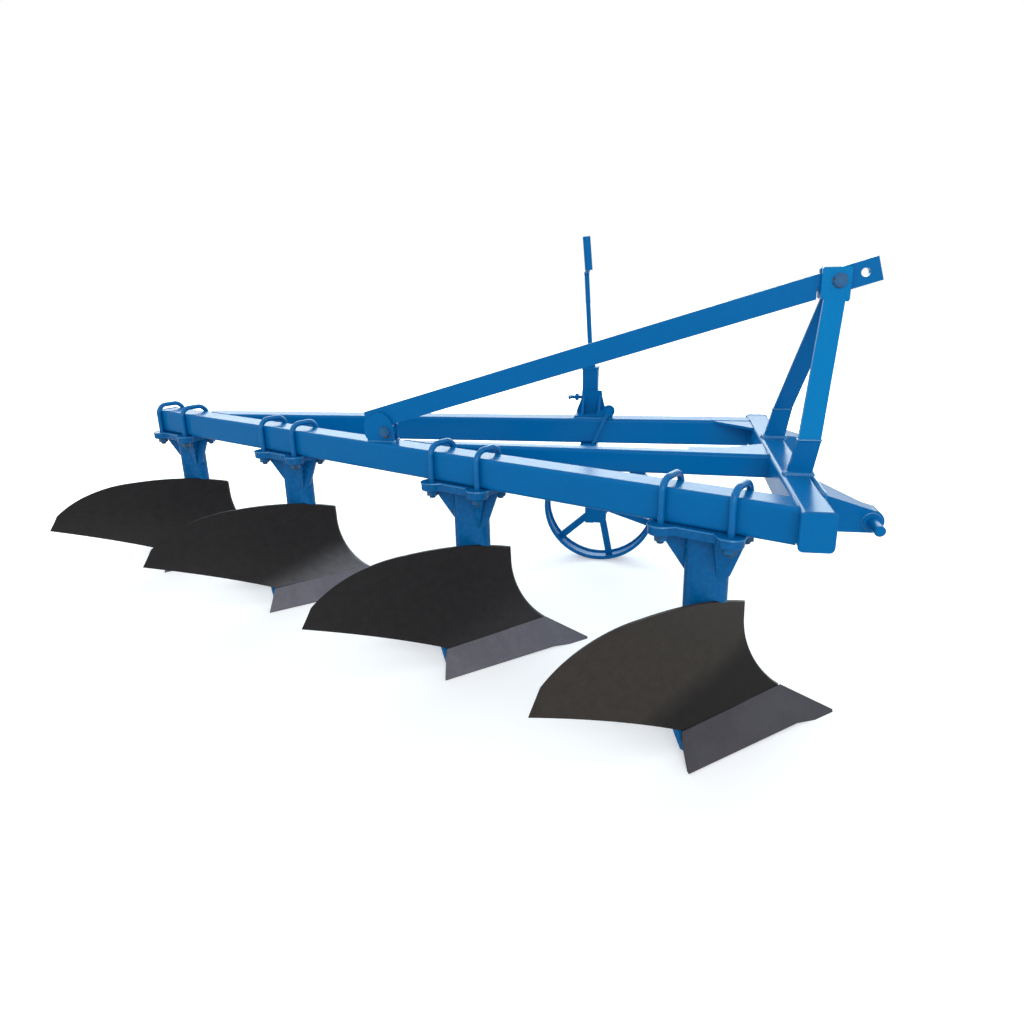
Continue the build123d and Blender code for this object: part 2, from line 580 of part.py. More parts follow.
def make_u_bolts():
    """Two U-bolts over the beam, with nuts under the top plate's ears."""
    nut_top = UNDER_BEAM - TOP_PLATE_THICK
    low = nut_top - NUT_HEIGHT - 8
    half = u_leg_offset()
    high = BEAM_TOP + U_RISE
    bend = high - U_BEND
    flat = half - U_BEND
    dip = U_BEND * (1 - sqrt(0.5))
    path = [Line((-half, low), (-half, bend)),
            ThreePointArc((-half, bend), (-half + dip, high - dip), (-flat, high)),
            Line((-flat, high), (flat, high)),
            ThreePointArc((flat, high), (half - dip, high - dip), (half, bend)),
            Line((half, bend), (half, low))]
    run = Plane.YZ * Wire([piece.edge() for piece in path])
    bolt = sweep(Pos(0, -half, low) * Circle(U_ROD / 2), path=run)
    for side in (-half, half):
        bolt += extrude(Pos(0, side, nut_top - NUT_HEIGHT) * RegularPolygon(NUT_ACROSS_FLATS / sqrt(3), 6),
                        amount=NUT_HEIGHT)
    return Compound([along_beam(station, BEAM / 2) * bolt for station in clamp_places()])


def top_plate():
    """Cast plate under the beam with four round ears for the U-bolts, flat side up on Z = 0."""
    half = u_leg_offset()
    spots = [(along, side) for along in (-CLAMP_SPACING / 2, CLAMP_SPACING / 2) for side in (-half, half)]
    plan = Rectangle(CLAMP_SPACING + 2 * TOP_PLATE_EDGE, BEAM + 2 * TOP_PLATE_EDGE)
    for spot in spots:
        plan += Pos(*spot) * Circle(EAR_RADIUS)
    plan = offset(offset(plan, amount=EAR_NECK), amount=-EAR_NECK)
    plate = extrude(plan, amount=-TOP_PLATE_THICK)
    plate = fillet(plate.edges().group_by(Axis.Z)[0], 5)
    for spot in spots:
        plate -= Pos(*spot) * Cylinder(U_ROD / 2 + U_CLEARANCE, 3 * TOP_PLATE_THICK)
    return plate


def leg_rib(points, apex):
    """Wedge rib that grows from a point on the leg into the top plate."""
    bottom = UNDER_BEAM - TOP_PLATE_THICK + 2
    base = Pos(LEG_X, LEG_Y, bottom) * make_face(Polyline(*points, close=True))
    return loft([base, Vertex(LEG_X + apex[0], LEG_Y + apex[1], RIB_ROOT)], ruled=True)


def make_standard():
    """Leg of one bottom: cast top plate with four ears, hollow oval leg, gussets and ribs."""
    bottom = UNDER_BEAM - TOP_PLATE_THICK
    solid = along_beam(CLAMP_STATION, BEAM / 2, UNDER_BEAM) * top_plate()
    column = SlotOverall(LEG_LENGTH, LEG_WIDTH)
    for side, reach, aside in LEG_GUSSETS:
        web = make_face(Polyline((0, GUSSET_ROOT - 60), (side * LEG_LENGTH / 2, GUSSET_ROOT),
                                 (side * (LEG_LENGTH / 2 + reach), bottom + 2), (0, bottom + 2), close=True))
        solid += Pos(LEG_X, LEG_Y + aside, 0) * extrude(Plane.XZ * web, amount=GUSSET_WEB / 2, both=True)
    root = LEG_WIDTH / 2 - LEG_WALL / 2
    solid += leg_rib([(3, -root), *RIB_RIGHT, (57, -root)], (RIB_APEX, -root))
    solid += leg_rib([(-3, root), *RIB_LEFT, (-57, root)], (-RIB_APEX, root))
    solid += Pos(LEG_X, LEG_Y, LEG_BOTTOM) * extrude(column, amount=bottom - LEG_BOTTOM)
    hollow = SlotOverall(LEG_LENGTH - 2 * LEG_WALL, LEG_WIDTH - 2 * LEG_WALL)
    solid -= Pos(LEG_X, LEG_Y, LEG_BOTTOM) * extrude(hollow, amount=bottom - LEG_BOTTOM)
    return solid - board_front()


def make_stay():
    """Round stay from the leg to the back of the wing."""
    turn = radians(GENERATOR_ANGLE)
    back = face_depth() - BOARD_RADIUS - BOARD_THICK - SEAT_GAP
    end = (back * sin(turn) - STAY_REACH * cos(turn), -back * cos(turn) - STAY_REACH * sin(turn), STAY_END_Z)
    start = (LEG_X - LEG_LENGTH / 2 + 20, LEG_Y - 8, STAY_START_Z)
    return rod(start, end, STAY_DIA) - board_front() - leg_envelope()


# ------------------------------------------------------------------ gauge wheel
def make_wheel():
    """Steel wheel: broad rim with rolled edges, flat spokes and a bored hub, its axle along Y."""
    section = Pos(WHEEL_RADIUS - RIM_THICK / 2, 0) * Rectangle(RIM_THICK, WHEEL_WIDTH - 2 * RIM_BEAD)
    for side in (-1, 1):
        section += Pos(WHEEL_RADIUS - RIM_BEAD, side * (WHEEL_WIDTH / 2 - RIM_BEAD)) * Circle(RIM_BEAD)
    bore = AXLE_DIA / 2 + AXLE_GAP
    hub = Pos((HUB_DIA / 2 + bore) / 2, 0) * Rectangle(HUB_DIA / 2 - bore, HUB_LENGTH)
    wheel = revolve(section, Axis.Y) + revolve(hub, Axis.Y)
    length = WHEEL_RADIUS - RIM_THICK - HUB_DIA / 2 + 6
    for number in range(SPOKES):
        spoke = Pos(0, 0, -HUB_DIA / 2 + 3 - length / 2) * Box(SPOKE_WIDTH, SPOKE_THICK, length)
        wheel += Rot(0, -FIRST_SPOKE - number * 360 / SPOKES, 0) * spoke
    return Pos(WHEEL_X, WHEEL_Y, WHEEL_RADIUS) * wheel


def make_axle():
    """Stub axle welded to the leg's crank plate, with a retaining collar and washer."""
    near = JACK_Y + LEG_BAR / 2
    hub_near = WHEEL_Y - HUB_LENGTH / 2
    hub_far = WHEEL_Y + HUB_LENGTH / 2
    place = Pos(WHEEL_X, 0, WHEEL_RADIUS) * Rot(-90, 0, 0)

    def disc(radius, start, end):
        return place * Pos(0, 0, (start + end) / 2) * Cylinder(radius, end - start)
    stub = disc(AXLE_DIA / 2, near, hub_far + 14) + disc(32, near, hub_near - 1)
    washer = disc(30, hub_far + 1, hub_far + 7)
    return stub + washer + disc(AXLE_DIA / 2 + 6, hub_far + 7, hub_far + 14)


def make_wheel_leg():
    """Square leg with its guide block at the top and the axle's crank plate at the foot."""
    top = JACK_TOP - 12 - WHEEL_TRAVEL - 18
    low = WHEEL_RADIUS - 40
    leg = Pos(WHEEL_LEG_X, JACK_Y, 0) * bar_z(low, top, LEG_BAR, LEG_BAR)
    guide = JACK_TUBE - 2 * JACK_WALL - 2 * JACK_GAP
    leg += Pos(WHEEL_LEG_X, JACK_Y, 0) * bar_z(top - GUIDE_HEIGHT, top, guide, guide)
    plate_front = WHEEL_X + 38
    plate_rear = WHEEL_LEG_X - LEG_BAR / 2
    plate = Box(plate_front - plate_rear, LEG_BAR, 76)
    plate = Pos((plate_front + plate_rear) / 2, JACK_Y, WHEEL_RADIUS) * plate
    leg += fillet(plate.edges().filter_by(Axis.Y), 14)
    bore = Pos(WHEEL_LEG_X, JACK_Y, (top + low + 90) / 2) * Cylinder(LEG_BORE / 2, top - low - 90)
    return leg - bore


def bar_z(low, high, length, width):
    """Upright box between two heights."""
    return Pos(0, 0, (low + high) / 2) * Box(length, width, high - low)


def make_jack_housing():
    """Square jack tube with a guide plate below and a bored cap."""
    section = RectangleRounded(JACK_TUBE, JACK_TUBE, 8) - RectangleRounded(
        JACK_TUBE - 2 * JACK_WALL, JACK_TUBE - 2 * JACK_WALL, 1)
    place = Pos(WHEEL_LEG_X, JACK_Y, 0)
    housing = place * Pos(0, 0, JACK_BOTTOM + 10) * extrude(section, amount=JACK_TOP - 10 - JACK_BOTTOM - 10)
    floor = Rectangle(JACK_TUBE, JACK_TUBE) - Rectangle(LEG_BAR + 2 * JACK_GAP, LEG_BAR + 2 * JACK_GAP)
    housing += place * Pos(0, 0, JACK_BOTTOM) * extrude(floor, amount=10)
    cap = RectangleRounded(JACK_TUBE + 4, JACK_TUBE + 4, 9) - Circle(SCREW_DIA / 2)
    housing += place * Pos(0, 0, JACK_TOP - 10) * extrude(cap, amount=10)
    return housing


def make_jack_saddle():
    """Plates that seat the jack on the side beam: a flared top seat, a clamp ear and a lower lug."""
    beam_far = SIDE_BEAM_Y + BEAM / 2
    beam_near = SIDE_BEAM_Y - BEAM / 2
    face = JACK_Y - JACK_TUBE / 2
    seat = Pos(WHEEL_LEG_X + 5, (beam_near + 20 + face) / 2, BEAM_TOP + 5) * Box(120, face - beam_near - 20, 10)
    flare = make_face(Polyline(*[(x, BEAM_TOP + rise) for x, rise in SADDLE_FLARE], close=True))
    seat += Pos(WHEEL_LEG_X, 0, 0) * extrude(Plane.XZ.offset(-face) * flare, amount=SADDLE_PLATE)
    for side in SADDLE_WEBS:
        web = Plane.YZ.offset(WHEEL_LEG_X + side) * make_face(Polyline(
            (face - 8, BEAM_TOP + 8), (face - 70, BEAM_TOP + 8), (face - 8, BEAM_TOP + 80), close=True))
        seat += extrude(web, amount=SADDLE_PLATE)
    back = Pos(WHEEL_LEG_X, (beam_far + face) / 2, UNDER_BEAM + BEAM / 2 - 6) * Box(
        JACK_TUBE, max(face - beam_far, 1), BEAM + 12)
    lug = Pos(WHEEL_LEG_X + 8, (beam_near - 24 + face) / 2, UNDER_BEAM - 6) * Box(66, face - beam_near + 24, 12)
    ear = Pos(WHEEL_LEG_X + EAR_AHEAD, beam_near + 18, BEAM_TOP + EAR_RISE) * Rot(90, 0, 0) * Cylinder(24, 14)
    step = Pos(WHEEL_LEG_X + EAR_AHEAD - 16, beam_near + 18, BEAM_TOP + EAR_RISE / 2) * Box(64, 14, EAR_RISE)
    floor = Pos(0, 0, BEAM_TOP - HUGE / 2) * Box(HUGE, HUGE, HUGE)
    return (seat + ((ear + step) - floor) + back + lug) - clamp_pin() - clamp_rod(CLAMP_ROD + 1)


def clamp_rod(diameter):
    """The clamp's rod from its eye down through the lower lug."""
    y = SIDE_BEAM_Y - BEAM / 2 - CLAMP_ROD_OUT
    eye = (WHEEL_LEG_X + EAR_AHEAD, y, BEAM_TOP + EAR_RISE)
    return rod(eye, (WHEEL_LEG_X + 10, y, UNDER_BEAM - 36), diameter)


def make_jack_clamp():
    """Clamp rod across the side beam's right face, with its eye, pin and the nut under the lug."""
    y = SIDE_BEAM_Y - BEAM / 2 - CLAMP_ROD_OUT
    eye = Pos(WHEEL_LEG_X + EAR_AHEAD, y, BEAM_TOP + EAR_RISE) * Rot(90, 0, 0) * Cylinder(15, 16)
    clamp = clamp_rod(CLAMP_ROD) + eye
    nut = Pos(WHEEL_LEG_X + 15, y, UNDER_BEAM - 12 - 14) * extrude(RegularPolygon(14, 6), amount=14)
    return clamp + clamp_pin() + nut


def clamp_pin():
    """The clamp's pivot pin, through the seat's ear."""
    near = SIDE_BEAM_Y - BEAM / 2
    return Pos(WHEEL_LEG_X + EAR_AHEAD, near + 5, BEAM_TOP + EAR_RISE) * Rot(90, 0, 0) * Cylinder(8, 44)


def make_jack_screw():
    """Jack screw, its collar on the cap and the cranked handle in one forging."""
    place = Pos(WHEEL_LEG_X, JACK_Y, 0)
    low = JACK_TOP - 12 - WHEEL_TRAVEL - 18 - GUIDE_HEIGHT
    kink = CRANK_TOP - GRIP_LENGTH
    joint = JACK_TOP + COLLAR_HEIGHT / 2
    top = (WHEEL_LEG_X - CRANK_LEAN, JACK_Y, kink - 12)
    grip_foot = (WHEEL_LEG_X - 6, JACK_Y - CRANK_OFFSET, kink)
    grip_top = (grip_foot[0] - CRANK_LEAN / 2, grip_foot[1], CRANK_TOP)
    screw = place * bar_round(low, joint, SCREW_DIA)
    screw += rod((WHEEL_LEG_X, JACK_Y, joint), top, SCREW_DIA - 1)
    screw += place * bar_round(JACK_TOP, JACK_TOP + COLLAR_HEIGHT, 36)
    screw += rod(top, (grip_foot[0], grip_foot[1], kink + 14), SCREW_DIA - 2)
    screw += Pos(*top) * Sphere(SCREW_DIA / 2 + 1)
    return screw + rod(grip_foot, grip_top, GRIP_DIA)


def bar_round(low, high, diameter):
    """Upright cylinder between two heights."""
    return Pos(0, 0, (low + high) / 2) * Cylinder(diameter / 2, high - low)


def make_set_screw():
    """Locking screw in the housing's rear face, with its nut and a small cross handle."""
    x = WHEEL_LEG_X - JACK_TUBE / 2
    z = JACK_TOP - 127
    nut = Plane(origin=(x - 18, JACK_Y, z), z_dir=(-1, 0, 0)) * RegularPolygon(15, 6)
    screw = rod((x, JACK_Y, z), (x - 62, JACK_Y, z), 14) + extrude(nut, amount=14)
    return screw + rod((x - 54, JACK_Y - 26, z), (x - 54, JACK_Y + 26, z), 12)


# ------------------------------------------------------------------ whole plough
def build_plough():
    """Every piece by its node name, with the first share point at X = Y = 0."""
    pieces = {
        "main_beam": make_main_beam(), "cross_beam": make_cross_beam(), "side_beam": make_side_beam(),
        "middle_beam": make_middle_beam(), "beam_caps": make_beam_caps(), "brace": make_brace(),
        "brace_bracket": make_brace_bracket(), "headstock_bolts": make_headstock_bolts(),
        "mast_post_right": make_mast_post(), "mast_post_left": mirrored(make_mast_post()),
        "mast_foot_right": make_mast_foot(), "mast_foot_left": mirrored(make_mast_foot()),
        "hitch_arm_right": make_hitch_arm(), "hitch_arm_left": mirrored(make_hitch_arm()),
        "hitch_pin_right": make_hitch_pin(), "hitch_pin_left": mirrored(make_hitch_pin()),
        "jack_housing": make_jack_housing(), "jack_saddle": make_jack_saddle(),
        "jack_clamp": make_jack_clamp(),
        "jack_screw": make_jack_screw(), "jack_set_screw": make_set_screw(), "wheel_leg": make_wheel_leg(),
        "wheel_axle": make_axle(), "gauge_wheel": make_wheel(),
    }
    bottom = {"standard": make_standard(), "moldboard": make_moldboard(), "share": make_share(),
              "landside": make_landside(), "frog": make_frog(), "stay": make_stay(),
              "u_bolts": make_u_bolts()}
    for row in BOTTOMS:
        shift = Pos(-row["station"] * COS, row["station"] * SIN, 0)
        for name, shape in bottom.items():
            pieces[f"{name}_{row['number']}"] = shift * shape
    return pieces


pieces = build_plough()
box = Compound([shape for shape in pieces.values()]).bounding_box()
ORIGIN = Vector(-(box.min.X + box.max.X) / 2, -(box.min.Y + box.max.Y) / 2, 0)
os.makedirs("parts", exist_ok=True)
for name, shape in pieces.items():
    export_step(Pos(ORIGIN.X, ORIGIN.Y, 0) * shape, f"parts/{name}.step")
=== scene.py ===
from math import cos, pi, radians, sin

import bpy
import numpy as np
from mathutils import Matrix, Vector


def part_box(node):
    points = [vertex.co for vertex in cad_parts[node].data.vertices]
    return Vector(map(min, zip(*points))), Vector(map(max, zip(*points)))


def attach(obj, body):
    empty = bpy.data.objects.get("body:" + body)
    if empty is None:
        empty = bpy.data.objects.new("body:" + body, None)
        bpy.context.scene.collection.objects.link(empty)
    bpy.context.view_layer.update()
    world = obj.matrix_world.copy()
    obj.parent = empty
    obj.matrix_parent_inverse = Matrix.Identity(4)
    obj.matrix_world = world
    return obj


bl_info = {
    "name": "Mounted share plough",
    "version": (1, 0, 0),
    "blender": (4, 5, 0),
    "location": "3D View > Sidebar > Plough",
    "description": "Paint, painted highlights, weld seams and fasteners of a mounted share plough",
    "category": "Object",
}

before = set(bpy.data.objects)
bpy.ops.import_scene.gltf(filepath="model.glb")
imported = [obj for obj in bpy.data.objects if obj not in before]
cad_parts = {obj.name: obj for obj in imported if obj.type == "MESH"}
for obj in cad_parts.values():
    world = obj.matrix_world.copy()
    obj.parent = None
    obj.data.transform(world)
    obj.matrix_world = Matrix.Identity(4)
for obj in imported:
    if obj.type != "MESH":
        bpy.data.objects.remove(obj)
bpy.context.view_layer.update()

# The plough is set out from the share point of its first bottom, which lies on the ground.
POINT_IN = 0.004            # how far it lies inside the boxes of the share and the landside
POINT = Vector((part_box("share_1")[1][0] - POINT_IN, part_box("landside_1")[1][1] - POINT_IN, 0.0))
BOTTOMS = (1, 2, 3, 4)
UP = np.array([0.0, 0.0, 1.0])
ALONG_X = np.array([1.0, 0.0, 0.0])
ALONG_Y = np.array([0.0, 1.0, 0.0])

# The main beam lies at a slant to the line of travel.
BEAM_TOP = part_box("main_beam")[1][2]
BEAM_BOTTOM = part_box("main_beam")[0][2]
BEAM_ANGLE = radians(25.4)
BEAM_AHEAD = np.array([cos(BEAM_ANGLE), -sin(BEAM_ANGLE), 0.0])
BEAM_LEFT = np.array([sin(BEAM_ANGLE), cos(BEAM_ANGLE), 0.0])

# The moldboards are rolled: their straight lines lie along ROLLING, and they face along FACING.
BOARD_ANGLE = radians(44.0)
ROLLING = np.array([cos(BOARD_ANGLE), sin(BOARD_ANGLE), 0.0])
FACING = np.array([sin(BOARD_ANGLE), -cos(BOARD_ANGLE), 0.0])
FOOT_HEIGHT = 0.125         # height of a board's foot, darkened as painted shade, at FOOT_BACK behind the share point
FOOT_BACK = 0.470
FOOT_SLOPE = 0.40           # its rise for each metre ahead of there

# Two U-bolts clamp each leg's top plate to the beam; an ear of the plate carries each nut.
CLAMP_SPACING = 0.198
CLAMP_WIDTH = 0.122
NUT_TOP = 0.567
NUT_FOOT = 0.008            # from the end of a U-bolt up to its nut
NUT_HEIGHT = 0.016
PLATE_LENGTH, PLATE_WIDTH, EAR_RADIUS = 0.232, 0.134, 0.036
PLATE_EDGE = 0.003          # rounding of the plate's upper edge

# A leg's section, and its middle from the share point.
LEG_X, LEG_Y = -0.388, -0.079
LEG_LENGTH, LEG_WIDTH = 0.122, 0.056
SOCKET_RISE = 0.080         # the frog's socket stands this far over the landside

# Bolts of the moldboard and share: place along the frog from its middle, and height.
BOARD_BOLTS = ((-0.075, 0.200), (-0.075, 0.115), (0.078, 0.195), (0.078, 0.115),
               (-0.165, 0.044), (-0.105, 0.044), (0.090, 0.044), (0.150, 0.044))
# Bolts of the landside: place behind the share point, and height.
LANDSIDE_BOLTS = ((-0.275, 0.062), (-0.440, 0.062))
BOARD_NUT_HEIGHT, BOARD_NUT_SIDE = 0.0110, 0.0095   # the nut's height, and where its chamfer starts
BOARD_NUT_CORE = 0.26       # radius of its thread, as a part of its width across the flats
BOARD_THREAD = (0.0007, 0.015)                      # depth and length

# The joint between a moldboard and its share is filled by a round seam.
SEAM_RADIUS, SEAM_SINK, SEAM_POINTS = 0.0019, 0.0006, 24

# Gauge wheel
SPOKES = 6
FIRST_SPOKE = radians(11.0)
SPOKE_WIDTH, SPOKE_THICK = 0.030, 0.012
HUB_RADIUS, RIM_THICK = 0.042, 0.008

# Beams that end on the cross beam, and the width of the joint there.
JOINED_BEAMS = (("main_beam", 0.110), ("middle_beam", 0.060), ("side_beam", 0.100))
TUBE_CORNER = 0.012         # rounded corner of a beam's section
JOINT_FOOT = 0.010          # the bead of such a joint starts this far over the beam's underside
FACE_REACH = 0.0006         # how near a point lies to the plane it counts for
SHARP_FROM = radians(40)    # corners sharper than this stay sharp

# Nodes whose end stands on another: name, axis, which end, and the bead's part of the full size.
STANDING = (("mast_foot_right", 2, 0, 2.0), ("mast_foot_left", 2, 0, 2.0),
            ("mast_foot_right", 2, 1, 0.6), ("mast_foot_left", 2, 1, 0.6),
            ("hitch_arm_right", 0, 0, 1.1), ("hitch_arm_left", 0, 0, 1.1))
CLOSED_ENDS = (("cross_beam", 1, 0, 0.4), ("cross_beam", 1, 1, 0.4))

# The other beads' parts of the full size.
SADDLE_BEAD, SOCKET_BEAD, CORNER_BEAD = 0.8, 0.8, 0.56
REAR_BEAD, SPOKE_BEAD, PIN_BEAD = 0.45, 0.6, 0.6
PIN_RING = 0.0232           # radius of the bead round a hitch pin

# Profiles that are turned: (radius, height) from the foot, outwards and up.
CLAMP_WASHER = ((0.0104, 0.0), (0.0222, 0.0), (0.0228, 0.0005),
                (0.0228, 0.0026), (0.0222, 0.0031), (0.0104, 0.0031))
MAST_WASHER = ((0.0112, 0.0), (0.0205, 0.0), (0.0211, 0.0006),
               (0.0211, 0.0024), (0.0205, 0.0030), (0.0112, 0.0030))
FLUSH_HEAD = ((0.0114, -0.0010), (0.0114, 0.0003), (0.0110, 0.0006))

# Threaded ends: core radius, depth of the thread and length.
CLAMP_THREAD = (0.0099, 0.0010, 0.009)
MAST_THREAD = (0.0098, 0.0012, 0.009)
THREAD_ROWS = 6             # rows of points in each turn of a thread
THREAD_CONE = 0.0015        # how far the end of a thread is cut below its core
MAST_HEAD_IN, MAST_NUT_IN = 0.012, 0.016    # from the ends of the mast bolt in to its washers

# Enamels: name, colour (the frame's own where None), roughness over the frame's, tone drift,
# specular level and orange peel.
ENAMELS = (("Frame enamel", None, 0.0, 0.10, 0.07, 0.3),
           ("Casting enamel", (0.002, 0.108, 0.305), 0.06, 0.50, 0.12, 0.9),
           ("Fastener enamel", None, -0.08, 0.25, 0.18, 0.4),
           # The right mast post's enamel is the frame's blue made lighter, painted light where the
           # post faces the light.
           ("Lit post enamel", (0.0012, 0.185, 0.455), 0.0, 0.10, 0.07, 0.3),
           ("Worn fastener", (0.008, 0.11, 0.27), 0.02, 0.25, 0.3, 0.4),
           # The beads' enamel is a lighter blue than the frame's, as a painted highlight, with a
           # glossy coat.
           ("Bead enamel", (0.004, 0.16, 0.40), -0.04, 0.25, 0.5, 0.6),
           ("Seam enamel", None, 0.0, 0.10, 0.10, 0.6))
# Worn spots of the enamels that have them: colour, amount, and the height below which they crowd.
WORN = {"Casting enamel": ((0.022, 0.120, 0.290), 0.32, None),
        "Fastener enamel": ((0.030, 0.090, 0.180), 0.16, NUT_TOP),
        "Worn fastener": ((0.075, 0.055, 0.04), 0.50, None)}
CROWDED = 0.85              # amount of the spots where they crowd
# Which enamel a node takes, by the start of its name; the frame's own for all others.
COATS = {"mast_post_right": "Lit post enamel", "standard": "Casting enamel", "frog": "Casting enamel",
         "u_bolts": "Fastener enamel", "headstock_bolts": "Worn fastener",
         "jack_clamp": "Fastener enamel", "jack_set_screw": "Fastener enamel"}
# Each bottom's painted highlight at the foot of its moldboard, a painted reflection mixed toward
# light grey, and how much lighter its share is.
BOTTOM_LOOKS = {1: (0.0, 1.05), 2: (0.06, 2.4), 3: (0.55, 2.6), 4: (0.10, 2.0)}
FOOT_SHADE = 0.62                 # painted shade: the first moldboard's foot darkened against the others' black
SECOND_TONE = 1.5           # a share's patches against its own tone
LANDSIDE_SECOND = (0.10, 0.075, 0.06)
SHARE_MOTTLE, LANDSIDE_MOTTLE = 0.4, 0.5
# Light grey that the painted highlight on a moldboard's foot mixes toward.
HIGHLIGHT_GREY = (0.26, 0.26, 0.27, 1)
STREAKS = (3.0, 45.0, 45.0)                 # noise scale along and across the rolling direction
PLATE_SPECULAR, FORGED_SPECULAR = 0.14, 0.2
ENAMEL_BUMP, PLATE_BUMP, FORGED_BUMP = 0.0005, 0.0003, 0.0006
# What every coat's shader group gives.
COAT_OUTPUTS = (("Colour", "NodeSocketColor"), ("Roughness", "NodeSocketFloat"),
                ("Height", "NodeSocketFloat"))

# Lamps: name, place, width, height, power and colour.
LAMPS = (("overhead", (-0.6, -0.6, 4.8), 5.0, 5.0, 20.0, (1.0, 1.0, 1.0)),
         ("front", (2.5, -9.0, 4.5), 6.0, 5.0, 350.0, (1.0, 1.0, 1.0)),
         ("rear", (-0.5, 7.0, 3.7), 14.0, 3.4, 660.0, (0.84, 1.0, 1.0)))
LAMP_AIM = Vector((0, 0, 0.6))
FLOOR_HALF = 40.0
SHADOW_NEAR, SHADOW_FAR = 1.6, 3.6          # between these the floor's shadow fades to white
SHADOW_GLOW = 0.35                          # the floor's own glow where the shadow is fullest
SKY_COLOUR, SKY_STRENGTH = (0.90, 0.95, 1.0, 1), 0.72
CAMERA_YAW, CAMERA_PITCH, CAMERA_ROLL = 0.197539, 0.309701, -0.0218503
CAMERA_SHIFT = (-0.00503, 0.00667)


# ---------- settings


class PloughPaint(bpy.types.PropertyGroup):
    """Colours of the frame, the moldboards and the shares"""
    frame_colour: bpy.props.FloatVectorProperty(
        name="Frame colour", description="Gloss enamel on the frame", subtype="COLOR", size=3,
        default=(0.0008, 0.133, 0.368), min=0, max=1)
    frame_roughness: bpy.props.FloatProperty(
        name="Frame roughness", description="Roughness of the enamel", default=0.22, min=0, max=1)
    board_colour: bpy.props.FloatVectorProperty(
        name="Moldboard colour", description="Satin black on the moldboards", subtype="COLOR",
        size=3, default=(0.0205, 0.0182, 0.0186), min=0, max=1)
    # Painted light: the first moldboard's upper part is a lighter, brownish black, a painted sheen
    # where its upright face meets the light.
    sheen_upper_colour: bpy.props.FloatVectorProperty(
        name="Upper sheen colour", description="Black with painted sheen on the upper part of the first moldboard",
        subtype="COLOR", size=3, default=(0.0375, 0.0315, 0.0265), min=0, max=1)
    share_colour: bpy.props.FloatVectorProperty(
        name="Share colour", description="Dark primer on shares and landsides", subtype="COLOR",
        size=3, default=(0.056, 0.054, 0.062), min=0, max=1)


class PloughWelds(bpy.types.PropertyGroup):
    """Size of the weld beads"""
    bead: bpy.props.FloatProperty(
        name="Bead", description="Half width of a weld bead", default=0.0048, subtype="DISTANCE")
    ripple: bpy.props.FloatProperty(
        name="Ripple", description="Spacing of the bead's ripples", default=0.0055,
        subtype="DISTANCE")


class PloughFasteners(bpy.types.PropertyGroup):
    """Threads and nuts"""
    pitch: bpy.props.FloatProperty(
        name="Pitch", description="Thread pitch of the U-bolts", default=0.0025, subtype="DISTANCE")
    board_nut: bpy.props.FloatProperty(
        name="Board nut", description="Across the flats of the moldboards' nuts", default=0.022,
        subtype="DISTANCE")


class PloughStage(bpy.types.PropertyGroup):
    """Camera and floor"""
    lens: bpy.props.FloatProperty(
        name="Lens", description="Focal length on a 36 mm sensor", default=26.093,
        subtype="DISTANCE_CAMERA")
    camera_place: bpy.props.FloatVectorProperty(
        name="Camera place", description="From the first share point",
        default=(-0.5245, -2.0625, 1.2331), subtype="TRANSLATION", size=3)
    floor_shade: bpy.props.FloatProperty(
        name="Floor shade", description="Grey of the studio floor", default=0.80, min=0, max=1)


# ---------- surfaces as whole arrays


def unit(vector):
    """The same direction with length one."""
    vector = np.asarray(vector, float)
    return vector / np.linalg.norm(vector, axis=-1, keepdims=True)


def grid_faces(rows, columns, loop_rows):
    """Quads over a grid of points whose columns close on themselves, and its rows too if asked."""
    row, column = np.meshgrid(np.arange(rows if loop_rows else rows - 1), np.arange(columns),
                              indexing="ij")
    after, beside = (row + 1) % rows, (column + 1) % columns
    quads = np.stack([row * columns + column, row * columns + beside, after * columns + beside,
                      after * columns + column], axis=-1)
    return quads.reshape(-1, 4)


def shell(grid, loop_rows=False):
    """Points and faces of a grid (rows, columns, 3); fans close its open ends to their middle."""
    rows, columns, _ = grid.shape
    points = grid.reshape(-1, 3)
    quads = grid_faces(rows, columns, loop_rows)
    if loop_rows:
        return points, quads, np.empty((0, 3), int)
    first, last = len(points), len(points) + 1
    points = np.vstack([points, grid[0].mean(0), grid[-1].mean(0)])
    here = np.arange(columns)
    beside = (here + 1) % columns
    foot = (rows - 1) * columns
    fans = np.vstack([np.stack([np.full(columns, first), beside, here], axis=-1),
                      np.stack([np.full(columns, last), foot + here, foot + beside], axis=-1)])
    return points, quads, fans


def tube(path, radii, sides=10, loop=False, across=UP):
    """Round surface along a path: p + r (cos a . side + sin a . top), side = tangent x across."""
    if loop:
        tangent = unit(np.roll(path, -1, axis=0) - np.roll(path, 1, axis=0))
    else:
        tangent = unit(np.gradient(path, axis=0))
    side = unit(np.cross(tangent, across))
    top = np.cross(tangent, side)
    angle = np.arange(sides) * 2 * pi / sides
    ring = (np.cos(angle)[None, :, None] * side[:, None, :]
            + np.sin(angle)[None, :, None] * top[:, None, :])
    radii = np.broadcast_to(np.asarray(radii, float).reshape(-1, 1, 1), (len(path), 1, 1))
    return shell(path[:, None, :] + radii * ring, loop)


def turned(profile, place, sides=24, flats=None, loop=False):
    """Lathe surface: (r cos a, r sin a, height) for each (r, height); flats make a hexagon."""
    profile = np.asarray(profile, float)
    angle = np.arange(sides) * 2 * pi / sides
    radius = np.repeat(profile[:, :1], sides, axis=1)
    if flats:
        hexagon = flats / 2 / np.cos(np.mod(angle, pi / 3) - pi / 6)
        radius = np.minimum(radius, hexagon[None, :])
    grid = np.stack([radius * np.cos(angle), radius * np.sin(angle),
                     np.repeat(profile[:, 1:], sides, axis=1)], axis=-1)
    return shell(stand(grid, place), loop)


